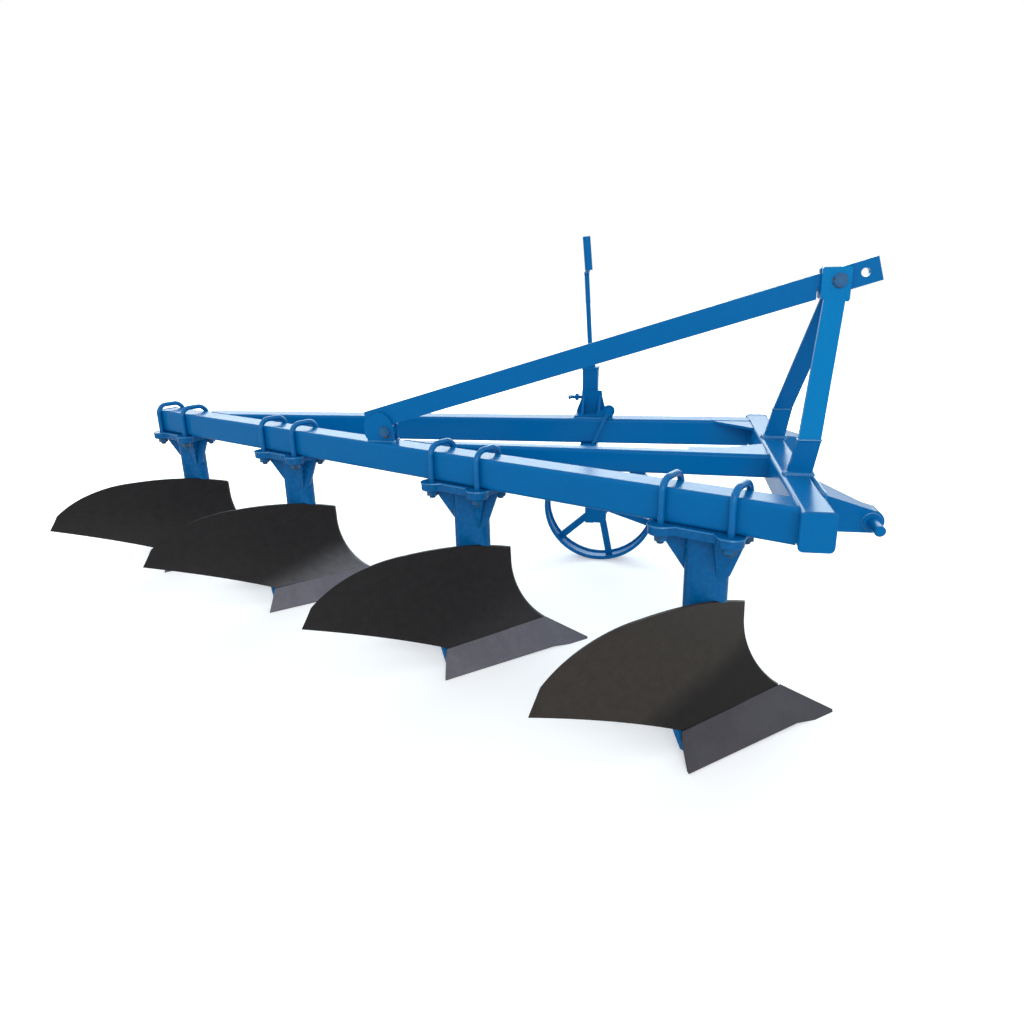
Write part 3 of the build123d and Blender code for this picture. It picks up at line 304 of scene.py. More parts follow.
def thread(core, depth, length, pitch, place, sides=18):
    """Threaded end: radius = core + depth . triangle(height / pitch - angle / turn).

    The last 1.5 mm and the thread's depth are cut to a cone.
    """
    rows = int(length / pitch * THREAD_ROWS)
    height = np.linspace(0, length, rows)[:, None]
    angle = np.arange(sides)[None, :] * 2 * pi / sides
    phase = np.mod(height / pitch - angle / (2 * pi), 1.0)
    radius = core + depth * (1 - np.abs(2 * phase - 1))
    radius = np.minimum(radius, core - THREAD_CONE + (length - height))
    grid = np.stack([radius * np.cos(angle), radius * np.sin(angle), height + 0 * angle], axis=-1)
    return shell(stand(grid, place))


def stand(points, place):
    """Points carried by a 4 x 4 placing matrix."""
    return points @ place[:3, :3].T + place[:3, 3]


def placing(origin, axis):
    """Matrix that stands local Z along an axis at a place."""
    up = unit(axis)
    guide = ALONG_X if abs(up[0]) < 0.9 else ALONG_Y
    side = unit(np.cross(guide, up))
    made = np.eye(4)
    made[:3, 0] = side
    made[:3, 1] = np.cross(up, side)
    made[:3, 2] = up
    made[:3, 3] = origin
    return made


def make_piece(context, name, shells, body, material):
    """One object from many shells, riding on a CAD body, with a material."""
    if not shells:
        raise RuntimeError(f"{name} has no surfaces")
    points, quads, fans, count = [], [], [], 0
    for part_points, part_quads, part_fans in shells:
        points.append(part_points)
        quads.append(part_quads + count)
        fans.append(part_fans + count)
        count += len(part_points)
    points, quads, fans = np.vstack(points), np.vstack(quads), np.vstack(fans)
    mesh = bpy.data.meshes.new(name)
    mesh.from_pydata(points.tolist(), [], quads.tolist() + fans.tolist())
    mesh.polygons.foreach_set("use_smooth", np.full(len(mesh.polygons), True))
    mesh.set_sharp_from_angle(angle=SHARP_FROM)
    mesh.materials.append(bpy.data.materials[material])
    mesh.validate()
    made = bpy.data.objects.new(name, mesh)
    context.collection.objects.link(made)
    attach(made, body)
    return made


# ---------- outlines read from the CAD nodes


def node_points(name):
    """All the corners of a CAD node, one to a row."""
    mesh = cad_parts[name].data
    points = np.empty(len(mesh.vertices) * 3, np.float32)
    mesh.vertices.foreach_get("co", points)
    return points.reshape(-1, 3).astype(float)


def cross(a, b, c):
    """Twice the area of a triangle in the plane, positive when it turns left."""
    return (b[0] - a[0]) * (c[1] - a[1]) - (b[1] - a[1]) * (c[0] - a[0])


def outline(points, at, normal, reach=0.0005):
    """Outer corners of the points that lie in a plane, in order round it (a convex outline)."""
    normal = unit(normal)
    place = placing(at, normal)
    flat = (points - np.asarray(at)) @ place[:3, :3]
    flat = np.unique(flat[np.abs(flat[:, 2]) < reach][:, :2].round(5), axis=0)
    rings = []
    for run in (flat, flat[::-1]):
        ring = []
        for spot in run:
            while len(ring) > 1 and cross(ring[-2], ring[-1], spot) <= 0:
                ring.pop()
            ring.append(spot)
        rings += ring[:-1]
    ring = np.array(rings)
    return stand(np.column_stack([ring, np.zeros(len(ring))]), place)


def spaced(corners, step, loop=True):
    """Evenly spaced points along a run of corners."""
    run = np.vstack([corners, corners[:1]]) if loop else np.asarray(corners, float)
    length = np.concatenate([[0], np.cumsum(np.linalg.norm(np.diff(run, axis=0), axis=1))])
    count = max(int(length[-1] / step), 4)
    marks = np.linspace(0, length[-1], count, endpoint=not loop)
    return np.stack([np.interp(marks, length, run[:, axis]) for axis in range(3)], axis=-1)


def bead(corners, normal, size, ripple, loop=True):
    """Weld bead along a run of corners, a round surface that swells once in each ripple.

    Radius at s metres along it = size (1 + 0.13 |sin(pi s / ripple)| + 0.06 sin(61 s)).
    """
    path = spaced(corners, ripple / 4, loop)
    travel = np.arange(len(path)) * ripple / 4
    swell = 1 + 0.13 * np.abs(np.sin(pi * travel / ripple)) + 0.06 * np.sin(travel * 61.0)
    return tube(path, size * swell, sides=8, loop=loop, across=np.asarray(normal, float))


# ---------- shader groups


def new_group(name, inputs, outputs):
    """An empty shader node group with the named sockets, and its input and output nodes."""
    group = bpy.data.node_groups.new(name, "ShaderNodeTree")
    for label, kind, value in inputs:
        socket = group.interface.new_socket(name=label, in_out="INPUT", socket_type=kind)
        if value is not None:
            socket.default_value = value
    for label, kind in outputs:
        group.interface.new_socket(name=label, in_out="OUTPUT", socket_type=kind)
    return group, group.nodes.new("NodeGroupInput"), group.nodes.new("NodeGroupOutput")


def node(tree, kind, links=None, **settings):
    """A shader node; links gives its inputs, by name or index, a value or another's socket."""
    made = tree.nodes.new(kind)
    for key, value in settings.items():
        setattr(made, key, value)
    for key, value in (links or {}).items():
        if isinstance(value, bpy.types.NodeSocket):
            tree.links.new(value, made.inputs[key])
        else:
            made.inputs[key].default_value = value
    return made


def math_node(tree, operation, first, second=0.0, clamp=False):
    """The output of a Math node on two values or sockets."""
    return node(tree, "ShaderNodeMath", {0: first, 1: second}, operation=operation,
                use_clamp=clamp).outputs[0]


def mixed_colour(tree, factor, first, second):
    """The output of a colour Mix node."""
    return node(tree, "ShaderNodeMix", {"Factor": factor, "A": first, "B": second},
                data_type="RGBA").outputs["Result"]


def eased(tree, value, low, high, at_low=0.0, at_high=1.0):
    """A value carried smoothly from at_low to at_high as it goes from low to high."""
    return node(tree, "ShaderNodeMapRange",
                {"Value": value, "From Min": low, "From Max": high, "To Min": at_low,
                 "To Max": at_high}, interpolation_type="SMOOTHSTEP").outputs["Result"]


def noise(tree, place, scale, detail=3.0, distortion=0.0):
    """Procedural noise, 0 to 1."""
    return node(tree, "ShaderNodeTexNoise", {"Vector": place, "Scale": scale, "Detail": detail,
                                             "Distortion": distortion}).outputs["Fac"]


def enamel_group():
    """Sprayed enamel: slow tone drift, orange peel and a height for the bump."""
    group, source, sink = new_group(
        "Sprayed Enamel",
        [("Colour", "NodeSocketColor", (0.0, 0.15, 0.4, 1)), ("Drift", "NodeSocketFloat", 0.1),
         ("Roughness", "NodeSocketFloat", 0.3), ("Peel", "NodeSocketFloat", 0.1)],
        COAT_OUTPUTS)
    place = node(group, "ShaderNodeTexCoord").outputs["Object"]
    mixed = math_node(group, "ADD", noise(group, place, 3.0, 4.0), noise(group, place, 60.0))
    swing = math_node(group, "MULTIPLY", math_node(group, "SUBTRACT", mixed, 1.0),
                      source.outputs["Drift"])
    toned = node(group, "ShaderNodeHueSaturation", {
        "Color": source.outputs["Colour"], "Value": math_node(group, "ADD", swing, 1.0)})
    rough = math_node(group, "ADD", swing, source.outputs["Roughness"])
    height = math_node(group, "MULTIPLY", noise(group, place, 420.0, 2.0), source.outputs["Peel"])
    group.links.new(toned.outputs[0], sink.inputs["Colour"])
    group.links.new(rough, sink.inputs["Roughness"])
    group.links.new(height, sink.inputs["Height"])
    return group


def speck_group():
    """Specks: a mask, 0 to 1, of small irregular spots whose number rises with Amount."""
    group, source, sink = new_group(
        "Specks", [("Scale", "NodeSocketFloat", 90.0), ("Amount", "NodeSocketFloat", 0.3)],
        [("Mask", "NodeSocketFloat")])
    place = node(group, "ShaderNodeTexCoord").outputs["Object"]
    small = noise(group, place, source.outputs["Scale"], 5.0, 0.4)
    large = noise(group, place, 11.0, 2.0)
    mixed = math_node(group, "ADD", small, math_node(group, "MULTIPLY", large, 0.6))
    edge = math_node(group, "SUBTRACT", 1.12,
                     math_node(group, "MULTIPLY", source.outputs["Amount"], 0.5))
    mask = math_node(group, "MULTIPLY", math_node(group, "SUBTRACT", mixed, edge), 14.0, clamp=True)
    group.links.new(mask, sink.inputs["Mask"])
    return group


def board_group():
    """Rolled plate: a foot darkened as painted shade that rises toward the shin, a painted
    highlight on it, and rolling streaks.
    """
    group, source, sink = new_group(
        "Rolled Plate",
        [("Point", "NodeSocketVector", None), ("Upper", "NodeSocketColor", None),
         ("Foot", "NodeSocketColor", None), ("Painted highlight", "NodeSocketFloat", 0.0)],
        COAT_OUTPUTS)
    place = node(group, "ShaderNodeTexCoord").outputs["Object"]
    local = node(group, "ShaderNodeVectorMath", {0: place, 1: source.outputs["Point"]},
                 operation="SUBTRACT")
    split = node(group, "ShaderNodeSeparateXYZ", {0: local.outputs[0]}).outputs
    ahead = math_node(group, "MULTIPLY", math_node(group, "ADD", split[0], FOOT_BACK), FOOT_SLOPE)
    level = math_node(group, "SUBTRACT", split[2], math_node(group, "ADD", ahead, FOOT_HEIGHT))
    waver = math_node(group, "MULTIPLY", noise(group, place, 7.0), 0.03)
    level = math_node(group, "ADD", level, waver)
    # Below this line the foot colour, painted shade on the first board; above it the upper colour.
    upper = eased(group, level, -0.030, 0.065)
    highlight_band = eased(group, level, -0.150, 0.020, 1.0, 0.0)
    shown = mixed_colour(group, upper, source.outputs["Foot"], source.outputs["Upper"])
    # Painted highlight: a band at the foot mixed toward light grey.
    painted_highlight = math_node(group, "MULTIPLY", highlight_band, source.outputs["Painted highlight"])
    shown = mixed_colour(group, painted_highlight, shown, HIGHLIGHT_GREY)
    rolled = node(group, "ShaderNodeMapping",
                  {"Vector": place, "Rotation": (0, 0, -BOARD_ANGLE), "Scale": STREAKS}).outputs[0]
    streak = noise(group, rolled, 1.0, 4.0)
    swing = math_node(group, "MULTIPLY", math_node(group, "SUBTRACT", streak, 0.5), 0.5)
    grain = math_node(group, "SUBTRACT", noise(group, place, 240.0), 0.5)
    fine = math_node(group, "MULTIPLY", grain, 0.5)
    value = math_node(group, "ADD", math_node(group, "ADD", swing, fine), 1.0)
    toned = node(group, "ShaderNodeHueSaturation", {"Color": shown, "Value": value})
    rough = math_node(group, "ADD", math_node(group, "MULTIPLY", swing, 0.3), 0.42)
    group.links.new(toned.outputs[0], sink.inputs["Colour"])
    group.links.new(rough, sink.inputs["Roughness"])
    group.links.new(streak, sink.inputs["Height"])
    return group


def mottle_group():
    """Forged mottle: broad and fine patches of a second tone, and a height for the bump."""
    group, source, sink = new_group(
        "Forged Mottle",
        [("Colour", "NodeSocketColor", None), ("Second", "NodeSocketColor", None),
         ("Amount", "NodeSocketFloat", 0.5)],
        COAT_OUTPUTS)
    place = node(group, "ShaderNodeTexCoord").outputs["Object"]
    broad = noise(group, place, 9.0, 5.0, 0.6)
    fine = noise(group, place, 75.0, 4.0)
    mixed = math_node(group, "ADD", broad, math_node(group, "MULTIPLY", fine, 0.5))
    patch = eased(group, mixed, 0.60, 0.95)
    part = math_node(group, "MULTIPLY", patch, source.outputs["Amount"])
    shown = mixed_colour(group, part, source.outputs["Colour"], source.outputs["Second"])
    rough = math_node(group, "ADD", math_node(group, "MULTIPLY", patch, 0.12), 0.40)
    group.links.new(shown, sink.inputs["Colour"])
    group.links.new(rough, sink.inputs["Roughness"])
    group.links.new(mixed, sink.inputs["Height"])
    return group


# ---------- materials


def new_material(name):
    """An empty material, its node tree and its shader."""
    material = bpy.data.materials.new(name)
    material.use_nodes = True
    return material, material.node_tree, material.node_tree.nodes["Principled BSDF"]


def coat_node(tree, group, values):
    """A shader group in a material, with the values of its inputs."""
    made = node(tree, "ShaderNodeGroup", node_tree=group)
    for label, value in values.items():
        made.inputs[label].default_value = value
    return made


def dress(tree, shader, coat, shown, specular, bump_height):
    """Joins a shader group's outputs to the material's own shader."""
    bump = node(tree, "ShaderNodeBump", {"Height": coat.outputs["Height"], "Strength": 0.25,
                                         "Distance": bump_height})
    tree.links.new(shown, shader.inputs["Base Color"])
    tree.links.new(coat.outputs["Roughness"], shader.inputs["Roughness"])
    tree.links.new(bump.outputs[0], shader.inputs["Normal"])
    shader.inputs["Specular IOR Level"].default_value = specular


def enamel(name, spray, colour, roughness, drift, specular, peel, specks):
    """Painted steel, with specks of another colour if its name is in WORN."""
    material, tree, shader = new_material(name)
    coat = coat_node(tree, spray, {"Colour": (*colour, 1), "Drift": drift, "Roughness": roughness,
                                   "Peel": peel})
    shown = coat.outputs["Colour"]
    if name in WORN:
        worn, amount, crowd_below = WORN[name]
        spots = coat_node(tree, specks, {"Amount": amount})
        if crowd_below:
            place = node(tree, "ShaderNodeTexCoord").outputs["Object"]
            height = node(tree, "ShaderNodeSeparateXYZ", {0: place}).outputs[2]
            crowd = node(tree, "ShaderNodeMapRange",
                         {"Value": height, "From Min": crowd_below - 0.004,
                          "From Max": crowd_below, "To Min": CROWDED, "To Max": amount})
            tree.links.new(crowd.outputs["Result"], spots.inputs["Amount"])
        shown = mixed_colour(tree, spots.outputs["Mask"], shown, (*worn, 1))
    dress(tree, shader, coat, shown, specular, ENAMEL_BUMP)


def plate_black(number, group, upper, foot, painted_highlight):
    """Satin black of one moldboard with its painted shade and highlight, set out from its own share
    point.
    """
    material, tree, shader = new_material(f"Moldboard black {number}")
    coat = coat_node(tree, group, {"Point": from_point(0, 0, 0) + bottom_shift(number),
                                   "Upper": (*upper, 1), "Foot": (*foot, 1), "Painted highlight": painted_highlight})
    dress(tree, shader, coat, coat.outputs["Colour"], PLATE_SPECULAR, PLATE_BUMP)
    return material


def forged(name, group, colour, second, amount):
    """Primed forging with its mottle."""
    material, tree, shader = new_material(name)
    coat = coat_node(tree, group, {"Colour": (*colour, 1), "Second": (*second, 1),
                                   "Amount": amount})
    dress(tree, shader, coat, coat.outputs["Colour"], FORGED_SPECULAR, FORGED_BUMP)
    return material


def paint_node(name, material):
    """Gives a CAD node its material."""
    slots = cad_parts[name].data.materials
    if len(slots) == 0:
        slots.append(material)
    for number in range(len(slots)):
        slots[number] = material


# ---------- places


def from_point(x, y, z):
    """A place measured in metres from the first share point."""
    return np.array([POINT.x + x, POINT.y + y, z])


def bottom_shift(number):
    """How far a bottom lies from the first."""
    return np.array(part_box(f"u_bolts_{number}")[0]) - np.array(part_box("u_bolts_1")[0])


def middle(name):
    """The middle of a node's box."""
    low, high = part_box(name)
    return (np.array(low) + np.array(high)) / 2


# ---------- operators


class PLOUGH_OT_paint(bpy.types.Operator):
    """Paint the frame, the moldboards and the shares"""
    bl_idname = "plough.paint"
    bl_label = "Paint"

    def execute(self, context):
        paint = context.scene.plough_paint
        spray, specks, plate, mottle = enamel_group(), speck_group(), board_group(), mottle_group()
        for name, colour, rougher, drift, specular, peel in ENAMELS:
            enamel(name, spray, colour or paint.frame_colour, paint.frame_roughness + rougher,
                   drift, specular, peel, specks)
        kinds = {start: bpy.data.materials[coat] for start, coat in COATS.items()}
        black, primer = np.array(paint.board_colour), np.array(paint.share_colour)
        for number, (painted_highlight, lift) in BOTTOM_LOOKS.items():
            first = number == 1
            # The first moldboard has a painted sheen on its upper part and painted shade at its
            # foot; the others are plain black.
            upper, foot = (paint.sheen_upper_colour, black * FOOT_SHADE) if first else (black, black)
            kinds[f"moldboard_{number}"] = plate_black(number, plate, upper, foot, painted_highlight)
            kinds[f"share_{number}"] = forged(f"Share primer {number}", mottle, primer * lift,
                                              primer * lift * SECOND_TONE,
                                              SHARE_MOTTLE)
            kinds[f"landside_{number}"] = forged(f"Landside primer {number}", mottle, primer,
                                                 LANDSIDE_SECOND, LANDSIDE_MOTTLE)
        blue = bpy.data.materials["Frame enamel"]
        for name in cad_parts:
            coat = next((kinds[start] for start in kinds if name.startswith(start)), blue)
            paint_node(name, coat)
        return {"FINISHED"}


class PLOUGH_OT_welds(bpy.types.Operator):
    """Lay the weld beads where the frame's pieces meet"""
    bl_idname = "plough.welds"
    bl_label = "Weld beads"

    def execute(self, context):
        welds = context.scene.plough_welds
        size, ripple = welds.bead, welds.ripple
        saddle = outline(node_points("jack_saddle"), UP * BEAM_TOP, UP)
        beads = self.seams(STANDING, size, ripple) + self.bracket(size, ripple) + self.rings(size)
        beads += [bead(saddle, UP, size * SADDLE_BEAD, ripple)] + self.sockets(size, ripple)
        ground = self.seams(CLOSED_ENDS, size, ripple) + self.corners(size, ripple)
        ground += [self.rear_end(size, ripple)]
        make_piece(context, "weld_beads", beads, "frame", "Bead enamel")
        make_piece(context, "ground_seams", ground, "frame", "Seam enamel")
        make_piece(context, "wheel_beads", self.spokes(size, ripple), "gauge_wheel",
                   "Seam enamel")
        return {"FINISHED"}

    def seams(self, table, size, ripple):
        """Beads round the ends of the nodes in a table."""
        made = []
        for name, axis, end, part in table:
            level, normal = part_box(name)[end][axis], np.eye(3)[axis]
            edge = outline(node_points(name), normal * level, normal)
            made.append(bead(edge, normal, size * part, ripple))
        return made

    def rear_end(self, size, ripple):
        """Bead round the main beam's closed rear end."""
        points = node_points("main_beam")
        rear = BEAM_AHEAD * (points @ BEAM_AHEAD).min()
        return bead(outline(points, rear, BEAM_AHEAD), BEAM_AHEAD, size * REAR_BEAD, ripple)

    def bracket(self, size, ripple):
        """Beads round the feet of the brace bracket's two plates."""
        points = node_points("brace_bracket")
        split = middle("brace_bracket")[1]
        made = []
        for half in (points[:, 1] < split, points[:, 1] > split):
            edge = outline(points[half], UP * BEAM_TOP, UP)
            made.append(bead(edge, UP, size, ripple))
        return made

    def corners(self, size, ripple):
        """Beads up the right faces and over the tops of the beams that meet the cross beam."""
        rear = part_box("cross_beam")[0].x
        made = []
        for name, width in JOINED_BEAMS:
            points = node_points(name)
            near = points[np.abs(points[:, 0] - rear) < FACE_REACH]
            low, high = near[:, 2].min(), near[:, 2].max()
            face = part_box(name)[1].y - width if name == "side_beam" else near[:, 1].min()
            run = np.array([[rear, face, low + JOINT_FOOT],
                            [rear, face, high - TUBE_CORNER],
                            [rear, face + TUBE_CORNER / 3, high - TUBE_CORNER / 3],
                            [rear, face + TUBE_CORNER, high],
                            [rear, face + width - TUBE_CORNER, high]])
            made.append(bead(run, ALONG_X, size * CORNER_BEAD, ripple, loop=False))
        return made

    def rings(self, size):
        """Beads round the shoulders of the hitch pins."""
        made = []
        for side, end in (("right", 0), ("left", 1)):
            centre = middle(f"hitch_pin_{side}")
            centre[1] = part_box(f"hitch_arm_{side}")[end].y
            angle = np.linspace(0, 2 * pi, 96, endpoint=False)[:, None]
            ring = centre + PIN_RING * (np.cos(angle) * ALONG_X + np.sin(angle) * UP)
            swell = size * (PIN_BEAD + 0.08 * np.sin(angle * 24))
            made.append(tube(ring, swell, sides=8, loop=True, across=ALONG_Y))
        return made

    def sockets(self, size, ripple):
        """Beads round the backs of the legs where they enter the frogs' sockets."""
        angle = np.linspace(radians(30), radians(235), 48)[:, None]
        flat = (LEG_LENGTH - LEG_WIDTH) / 2
        ring = from_point(LEG_X, LEG_Y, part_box("landside_1")[1].z + SOCKET_RISE)
        ring = ring + (np.cos(angle) * LEG_WIDTH / 2 + np.sign(np.cos(angle)) * flat) * ALONG_X
        ring = ring + np.sin(angle) * LEG_WIDTH / 2 * ALONG_Y
        return [bead(ring + bottom_shift(number), UP, size * SOCKET_BEAD, ripple, loop=False)
                for number in BOTTOMS]

    def spokes(self, size, ripple):
        """Beads round each spoke's two ends."""
        hub = middle("gauge_wheel")
        made = []
        for number in range(SPOKES):
            angle = FIRST_SPOKE + number * 2 * pi / SPOKES
            out = np.array([sin(angle), 0.0, -cos(angle)])
            beside = np.array([cos(angle), 0.0, sin(angle)]) * SPOKE_WIDTH / 2
            deep = ALONG_Y * SPOKE_THICK / 2
            for reach in (HUB_RADIUS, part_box("gauge_wheel")[1].z / 2 - RIM_THICK):
                edge = hub + out * reach + np.array([beside + deep, deep - beside,
                                                     -beside - deep, beside - deep])
                made.append(bead(edge, out, size * SPOKE_BEAD, ripple))
        return made


class PLOUGH_OT_plate_edges(bpy.types.Operator):
    """Round the upper edges of the legs' cast top plates"""
    bl_idname = "plough.plate_edges"
    bl_label = "Plate edges"

    def execute(self, context):
        rim = self.rim() + UP * (BEAM_BOTTOM - 0.0016)
        edges = [tube(rim + middle(f"u_bolts_{number}") * (1, 1, 0), PLATE_EDGE, sides=8, loop=True)
                 for number in BOTTOMS]
        make_piece(context, "plate_edges", edges, "frame", "Bead enamel")
        return {"FINISHED"}

    def rim(self):
        """Plan of a plate: each way, the farther of its rectangle's edge and an ear's circle."""
        angle = np.linspace(0, 2 * pi, 240, endpoint=False)
        side = np.minimum(PLATE_LENGTH / 2 / np.maximum(np.abs(np.cos(angle)), 1e-6),
                          PLATE_WIDTH / 2 / np.maximum(np.abs(np.sin(angle)), 1e-6))
        away = np.hypot(CLAMP_SPACING, CLAMP_WIDTH) / 2
        toward = np.arctan2(CLAMP_WIDTH, CLAMP_SPACING)
        apart = np.arctan2(np.abs(np.sin(angle)), np.abs(np.cos(angle))) - toward
        chord = EAR_RADIUS ** 2 - (away * np.sin(apart)) ** 2
        ear = np.where(chord > 0, away * np.cos(apart) + np.sqrt(np.maximum(chord, 0)), 0)
        radius = np.maximum(side, ear)[:, None]
        return radius * (np.cos(angle)[:, None] * BEAM_AHEAD + np.sin(angle)[:, None] * BEAM_LEFT)


class PLOUGH_OT_share_seams(bpy.types.Operator):
    """Fill the joint between each moldboard and its share"""
    bl_idname = "plough.share_seams"
    bl_label = "Share seams"

    def execute(self, context):
        for number in BOTTOMS:
            points = node_points(f"moldboard_{number}")
            low = points[points[:, 2] < points[:, 2].min() + 0.003]
            depth = low @ FACING
            front = low[depth > depth.max() - 0.004]
            order = np.argsort(front @ ROLLING)
            path = np.linspace(front[order[0]], front[order[-1]], SEAM_POINTS)
            seam = tube(path - UP * SEAM_SINK, SEAM_RADIUS, sides=8)
            make_piece(context, f"share_seam_{number}", [seam], "frame",
                       f"Moldboard black {number}")
        return {"FINISHED"}


class PLOUGH_OT_plough_bolts(bpy.types.Operator):
    """Nuts on the backs of the frogs, and flush bolt heads on the landsides"""
    bl_idname = "plough.plough_bolts"
    bl_label = "Plough bolts"

    def execute(self, context):
        flats = context.scene.plough_fasteners.board_nut
        pitch = context.scene.plough_fasteners.pitch * 0.7
        centre = middle("frog_1") * (1, 1, 0)
        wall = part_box("landside_1")[1].y
        spots = [(centre + ROLLING * along + UP * up, FACING) for along, up in BOARD_BOLTS]
        spots += [(from_point(x, 0, z), ALONG_Y) for x, z in LANDSIDE_BOLTS]
        core = flats * BOARD_NUT_CORE
        nut = [(core, 0.0), (flats, 0.0), (flats, BOARD_NUT_SIDE),
               (flats * 0.49, BOARD_NUT_HEIGHT), (core, BOARD_NUT_HEIGHT)]
        nuts, heads = [], []
        for number in BOTTOMS:
            shift = bottom_shift(number)
            for spot, front in spots:
                far, way = self.far_side(spot, front)
                place = placing(far + shift, way)
                nuts.append(turned(nut, place, sides=36, flats=flats, loop=True))
                nuts.append(thread(core, *BOARD_THREAD, pitch, place))
            for x, z in LANDSIDE_BOLTS:
                spot = from_point(x, 0, z) + shift
                spot[1] = wall + shift[1]
                heads.append(turned(FLUSH_HEAD, placing(spot, ALONG_Y), sides=32))
        make_piece(context, "plough_bolt_nuts", nuts, "frame", "Worn fastener")
        make_piece(context, "landside_bolt_heads", heads, "frame",
                   "Landside primer 1")
        return {"FINISHED"}

    def far_side(self, spot, front):
        """Where a bolt that goes in from the front leaves the frog, and the way it points."""
        frog = bpy.data.objects["frog_1"]
        way = Vector(-front)
        met, near, _, _ = frog.ray_cast(Vector(spot) - way * 0.8, way)
        left, far, normal, _ = frog.ray_cast(near + way * 0.001, way)
        if not met or not left:
            raise RuntimeError("a plough bolt misses its frog")
        return np.array(far), np.array(normal)


class PLOUGH_OT_clamp_fittings(bpy.types.Operator):
    """Turn the U-bolts' threaded ends and washers"""
    bl_idname = "plough.clamp_fittings"
    bl_label = "Clamp fittings"

    def execute(self, context):
        pitch = context.scene.plough_fasteners.pitch
        shells = []
        for number in BOTTOMS:
            centre = middle(f"u_bolts_{number}")
            for behind in (-CLAMP_SPACING / 2, CLAMP_SPACING / 2):
                for across in (-CLAMP_WIDTH / 2, CLAMP_WIDTH / 2):
                    spot = centre + BEAM_AHEAD * behind + BEAM_LEFT * across
                    spot[2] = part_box("u_bolts_1")[0].z + NUT_FOOT
                    shells.append(thread(*CLAMP_THREAD, pitch, placing(spot, -UP)))
                    washer = placing(spot + UP * NUT_HEIGHT, UP)
                    shells.append(turned(CLAMP_WASHER, washer, loop=True))
        make_piece(context, "clamp_fittings", shells, "frame", "Fastener enamel")
        return {"FINISHED"}


class PLOUGH_OT_headstock_fittings(bpy.types.Operator):
    """Turn the washers and threaded ends of the mast bolt and the brace's foot bolt"""
    bl_idname = "plough.headstock_fittings"
    bl_label = "Headstock fittings"

    def execute(self, context):
        pitch = context.scene.plough_fasteners.pitch
        points = node_points("headstock_bolts")
        split = middle("headstock_bolts")[2]
        shells = []
        for half in (points[:, 2] > split, points[:, 2] < split):
            bolt = points[half]
            centre = (bolt.min(0) + bolt.max(0)) / 2
            run = bolt - centre
            axis = np.linalg.svd(run - run.mean(0), full_matrices=False)[2][0]
            axis = axis * np.sign(axis[1])
            reach = np.abs(run @ axis).max()
            shells.append(thread(*MAST_THREAD, pitch, placing(centre + axis * reach, axis)))
            head = placing(centre - axis * (reach - MAST_HEAD_IN), -axis)
            nut = placing(centre + axis * (reach - MAST_NUT_IN), axis)
            shells.append(turned(MAST_WASHER, head, sides=32, loop=True))
            shells.append(turned(MAST_WASHER, nut, sides=32, loop=True))
        make_piece(context, "headstock_fittings", shells, "frame", "Worn fastener")
        return {"FINISHED"}


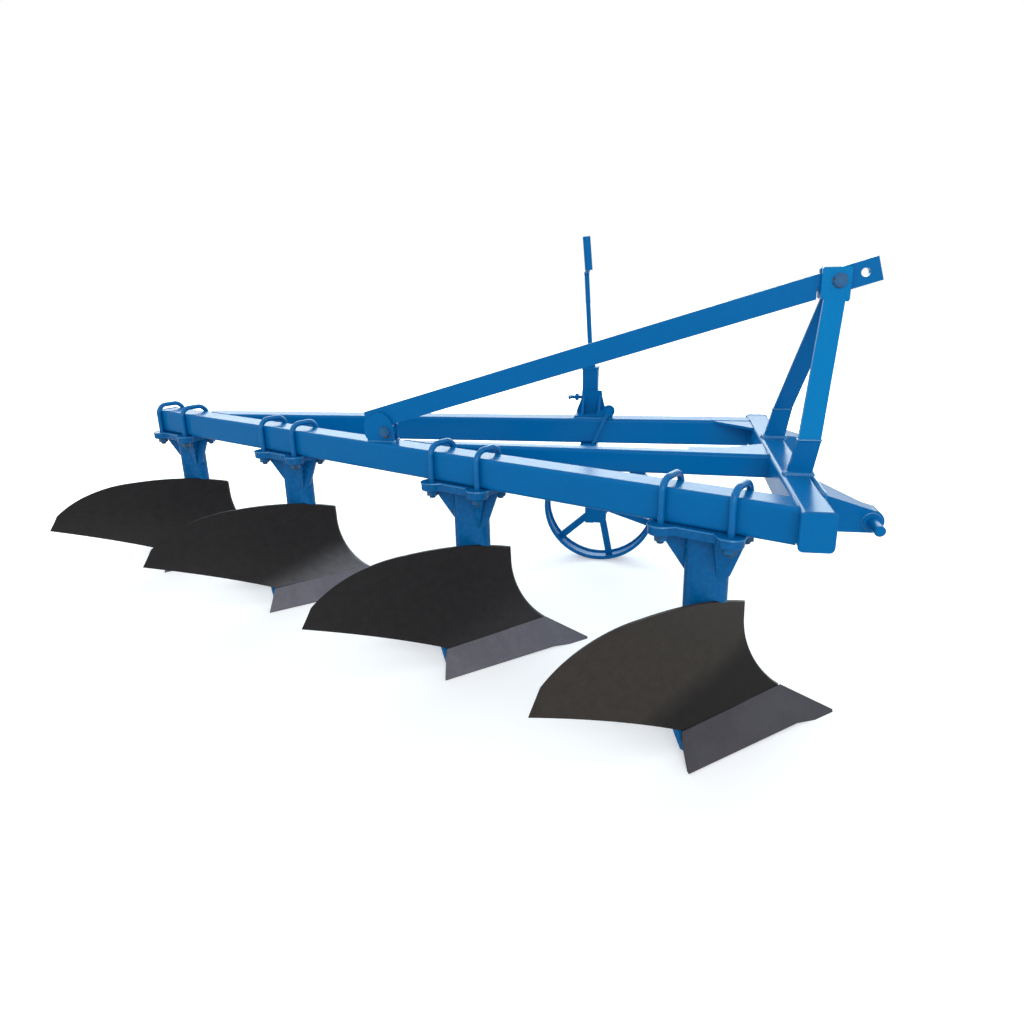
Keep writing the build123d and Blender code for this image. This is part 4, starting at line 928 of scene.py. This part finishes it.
class PLOUGH_OT_stage(bpy.types.Operator):
    """Lay the studio floor and set the lamps and the camera"""
    bl_idname = "plough.stage"
    bl_label = "Stage"

    def execute(self, context):
        setup = context.scene.plough_stage
        self.floor(context, setup)
        self.world(context)
        self.lamps(context)
        self.camera(context, setup)
        context.scene.view_settings.view_transform = "Standard"
        return {"FINISHED"}

    def floor(self, context, setup):
        """One large quad at ground height, white to the camera apart from the shadow."""
        half = FLOOR_HALF
        mesh = bpy.data.meshes.new("studio_floor")
        mesh.from_pydata([(-half, -half, 0), (half, -half, 0), (half, half, 0), (-half, half, 0)],
                         [], [(0, 1, 2, 3)])
        floor = bpy.data.objects.new("studio_floor", mesh)
        context.collection.objects.link(floor)
        material, tree, shader = new_material("Studio floor")
        shade = setup.floor_shade
        shader.inputs["Base Color"].default_value = (shade, shade, shade, 1)
        shader.inputs["Roughness"].default_value = 0.9
        shader.inputs["Specular IOR Level"].default_value = 0.0
        place = node(tree, "ShaderNodeTexCoord").outputs["Object"]
        away = node(tree, "ShaderNodeVectorMath", {0: place}, operation="LENGTH").outputs["Value"]
        glow = node(tree, "ShaderNodeMapRange",
                    {"Value": away, "From Min": SHADOW_NEAR, "From Max": SHADOW_FAR,
                     "To Min": SHADOW_GLOW, "To Max": 1.0}).outputs["Result"]
        seen = node(tree, "ShaderNodeLightPath").outputs["Is Camera Ray"]
        tree.links.new(math_node(tree, "MULTIPLY", glow, seen), shader.inputs["Emission Strength"])
        shader.inputs["Emission Color"].default_value = (1, 1, 1, 1)
        mesh.materials.append(material)

    def world(self, context):
        """A soft bluish sky for the light, and white for what the camera and reflections see."""
        world = context.scene.world or bpy.data.worlds.new("Studio")
        context.scene.world = world
        world.use_nodes = True
        tree = world.node_tree
        tree.nodes.clear()
        path = node(tree, "ShaderNodeLightPath")
        seen = math_node(tree, "MAXIMUM", path.outputs["Is Camera Ray"],
                         path.outputs["Is Glossy Ray"])
        seen = math_node(tree, "MAXIMUM", seen, path.outputs["Is Transmission Ray"])
        soft = node(tree, "ShaderNodeBackground", {"Color": SKY_COLOUR, "Strength": SKY_STRENGTH})
        white = node(tree, "ShaderNodeBackground", {"Color": (1, 1, 1, 1), "Strength": 1.0})
        mixed = node(tree, "ShaderNodeMixShader",
                     {0: seen, 1: soft.outputs[0], 2: white.outputs[0]})
        sink = node(tree, "ShaderNodeOutputWorld")
        tree.links.new(mixed.outputs[0], sink.inputs["Surface"])

    def lamps(self, context):
        """Soft lamps over, before and behind the plough, hidden from the camera."""
        for name, place, width, height, power, colour in LAMPS:
            lamp = bpy.data.lights.new(name, "AREA")
            lamp.shape = "RECTANGLE"
            lamp.energy, lamp.size, lamp.size_y, lamp.color = power, width, height, colour
            holder = bpy.data.objects.new(name, lamp)
            holder.location = place
            holder.rotation_mode = "QUATERNION"
            holder.rotation_quaternion = (LAMP_AIM - Vector(place)).to_track_quat("-Z", "Y")
            holder.visible_camera = False
            context.collection.objects.link(holder)

    def camera(self, context, setup):
        """The camera looks a little to the right rear, down at the frame, with a slight roll."""
        yaw, pitch, roll = CAMERA_YAW, CAMERA_PITCH, CAMERA_ROLL
        right = Vector((cos(yaw), sin(yaw), 0))
        level = Vector((-sin(yaw), cos(yaw), 0))
        up = Vector((0, 0, 1))
        ahead = level * cos(pitch) - up * sin(pitch)
        top = up * cos(pitch) + level * sin(pitch)
        across = right * cos(roll) + top * sin(roll)
        high = top * cos(roll) - right * sin(roll)
        data = bpy.data.cameras.new("camera")
        data.sensor_width = 36.0
        data.lens = setup.lens
        data.shift_x, data.shift_y = CAMERA_SHIFT
        camera = bpy.data.objects.new("camera", data)
        place = POINT + Vector(setup.camera_place)
        camera.matrix_world = Matrix((
            (across.x, high.x, -ahead.x, place.x),
            (across.y, high.y, -ahead.y, place.y),
            (across.z, high.z, -ahead.z, place.z),
            (0, 0, 0, 1)))
        context.collection.objects.link(camera)
        context.scene.camera = camera


class PLOUGH_PT_panel(bpy.types.Panel):
    """The plough's pieces, in the order they are made"""
    bl_label = "Plough"
    bl_idname = "PLOUGH_PT_panel"
    bl_space_type = "VIEW_3D"
    bl_region_type = "UI"
    bl_category = "Plough"

    def draw(self, context):
        for step in STEPS:
            self.layout.operator(step.bl_idname)
        for name in GROUPS:
            box = self.layout.box()
            settings = getattr(context.scene, name)
            for label in settings.__annotations__:
                box.prop(settings, label)


STEPS = (PLOUGH_OT_paint, PLOUGH_OT_welds, PLOUGH_OT_plate_edges, PLOUGH_OT_share_seams,
         PLOUGH_OT_plough_bolts, PLOUGH_OT_clamp_fittings, PLOUGH_OT_headstock_fittings,
         PLOUGH_OT_stage)
GROUPS = {"plough_paint": PloughPaint, "plough_welds": PloughWelds,
          "plough_fasteners": PloughFasteners, "plough_stage": PloughStage}


def register():
    """Makes the settings, the operators and the panel known to Blender."""
    for group in GROUPS.values():
        bpy.utils.register_class(group)
    for name, group in GROUPS.items():
        setattr(bpy.types.Scene, name, bpy.props.PointerProperty(type=group))
    for step in STEPS:
        bpy.utils.register_class(step)
    bpy.utils.register_class(PLOUGH_PT_panel)


def unregister():
    """Takes them away again."""
    bpy.utils.unregister_class(PLOUGH_PT_panel)
    for step in reversed(STEPS):
        bpy.utils.unregister_class(step)
    for name, group in GROUPS.items():
        delattr(bpy.types.Scene, name)
        bpy.utils.unregister_class(group)


def main():
    """Registers the add-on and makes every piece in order."""
    register()
    for step in STEPS:
        area, verb = step.bl_idname.split(".")
        getattr(getattr(bpy.ops, area), verb)()


if __name__ == "__main__":
    main()
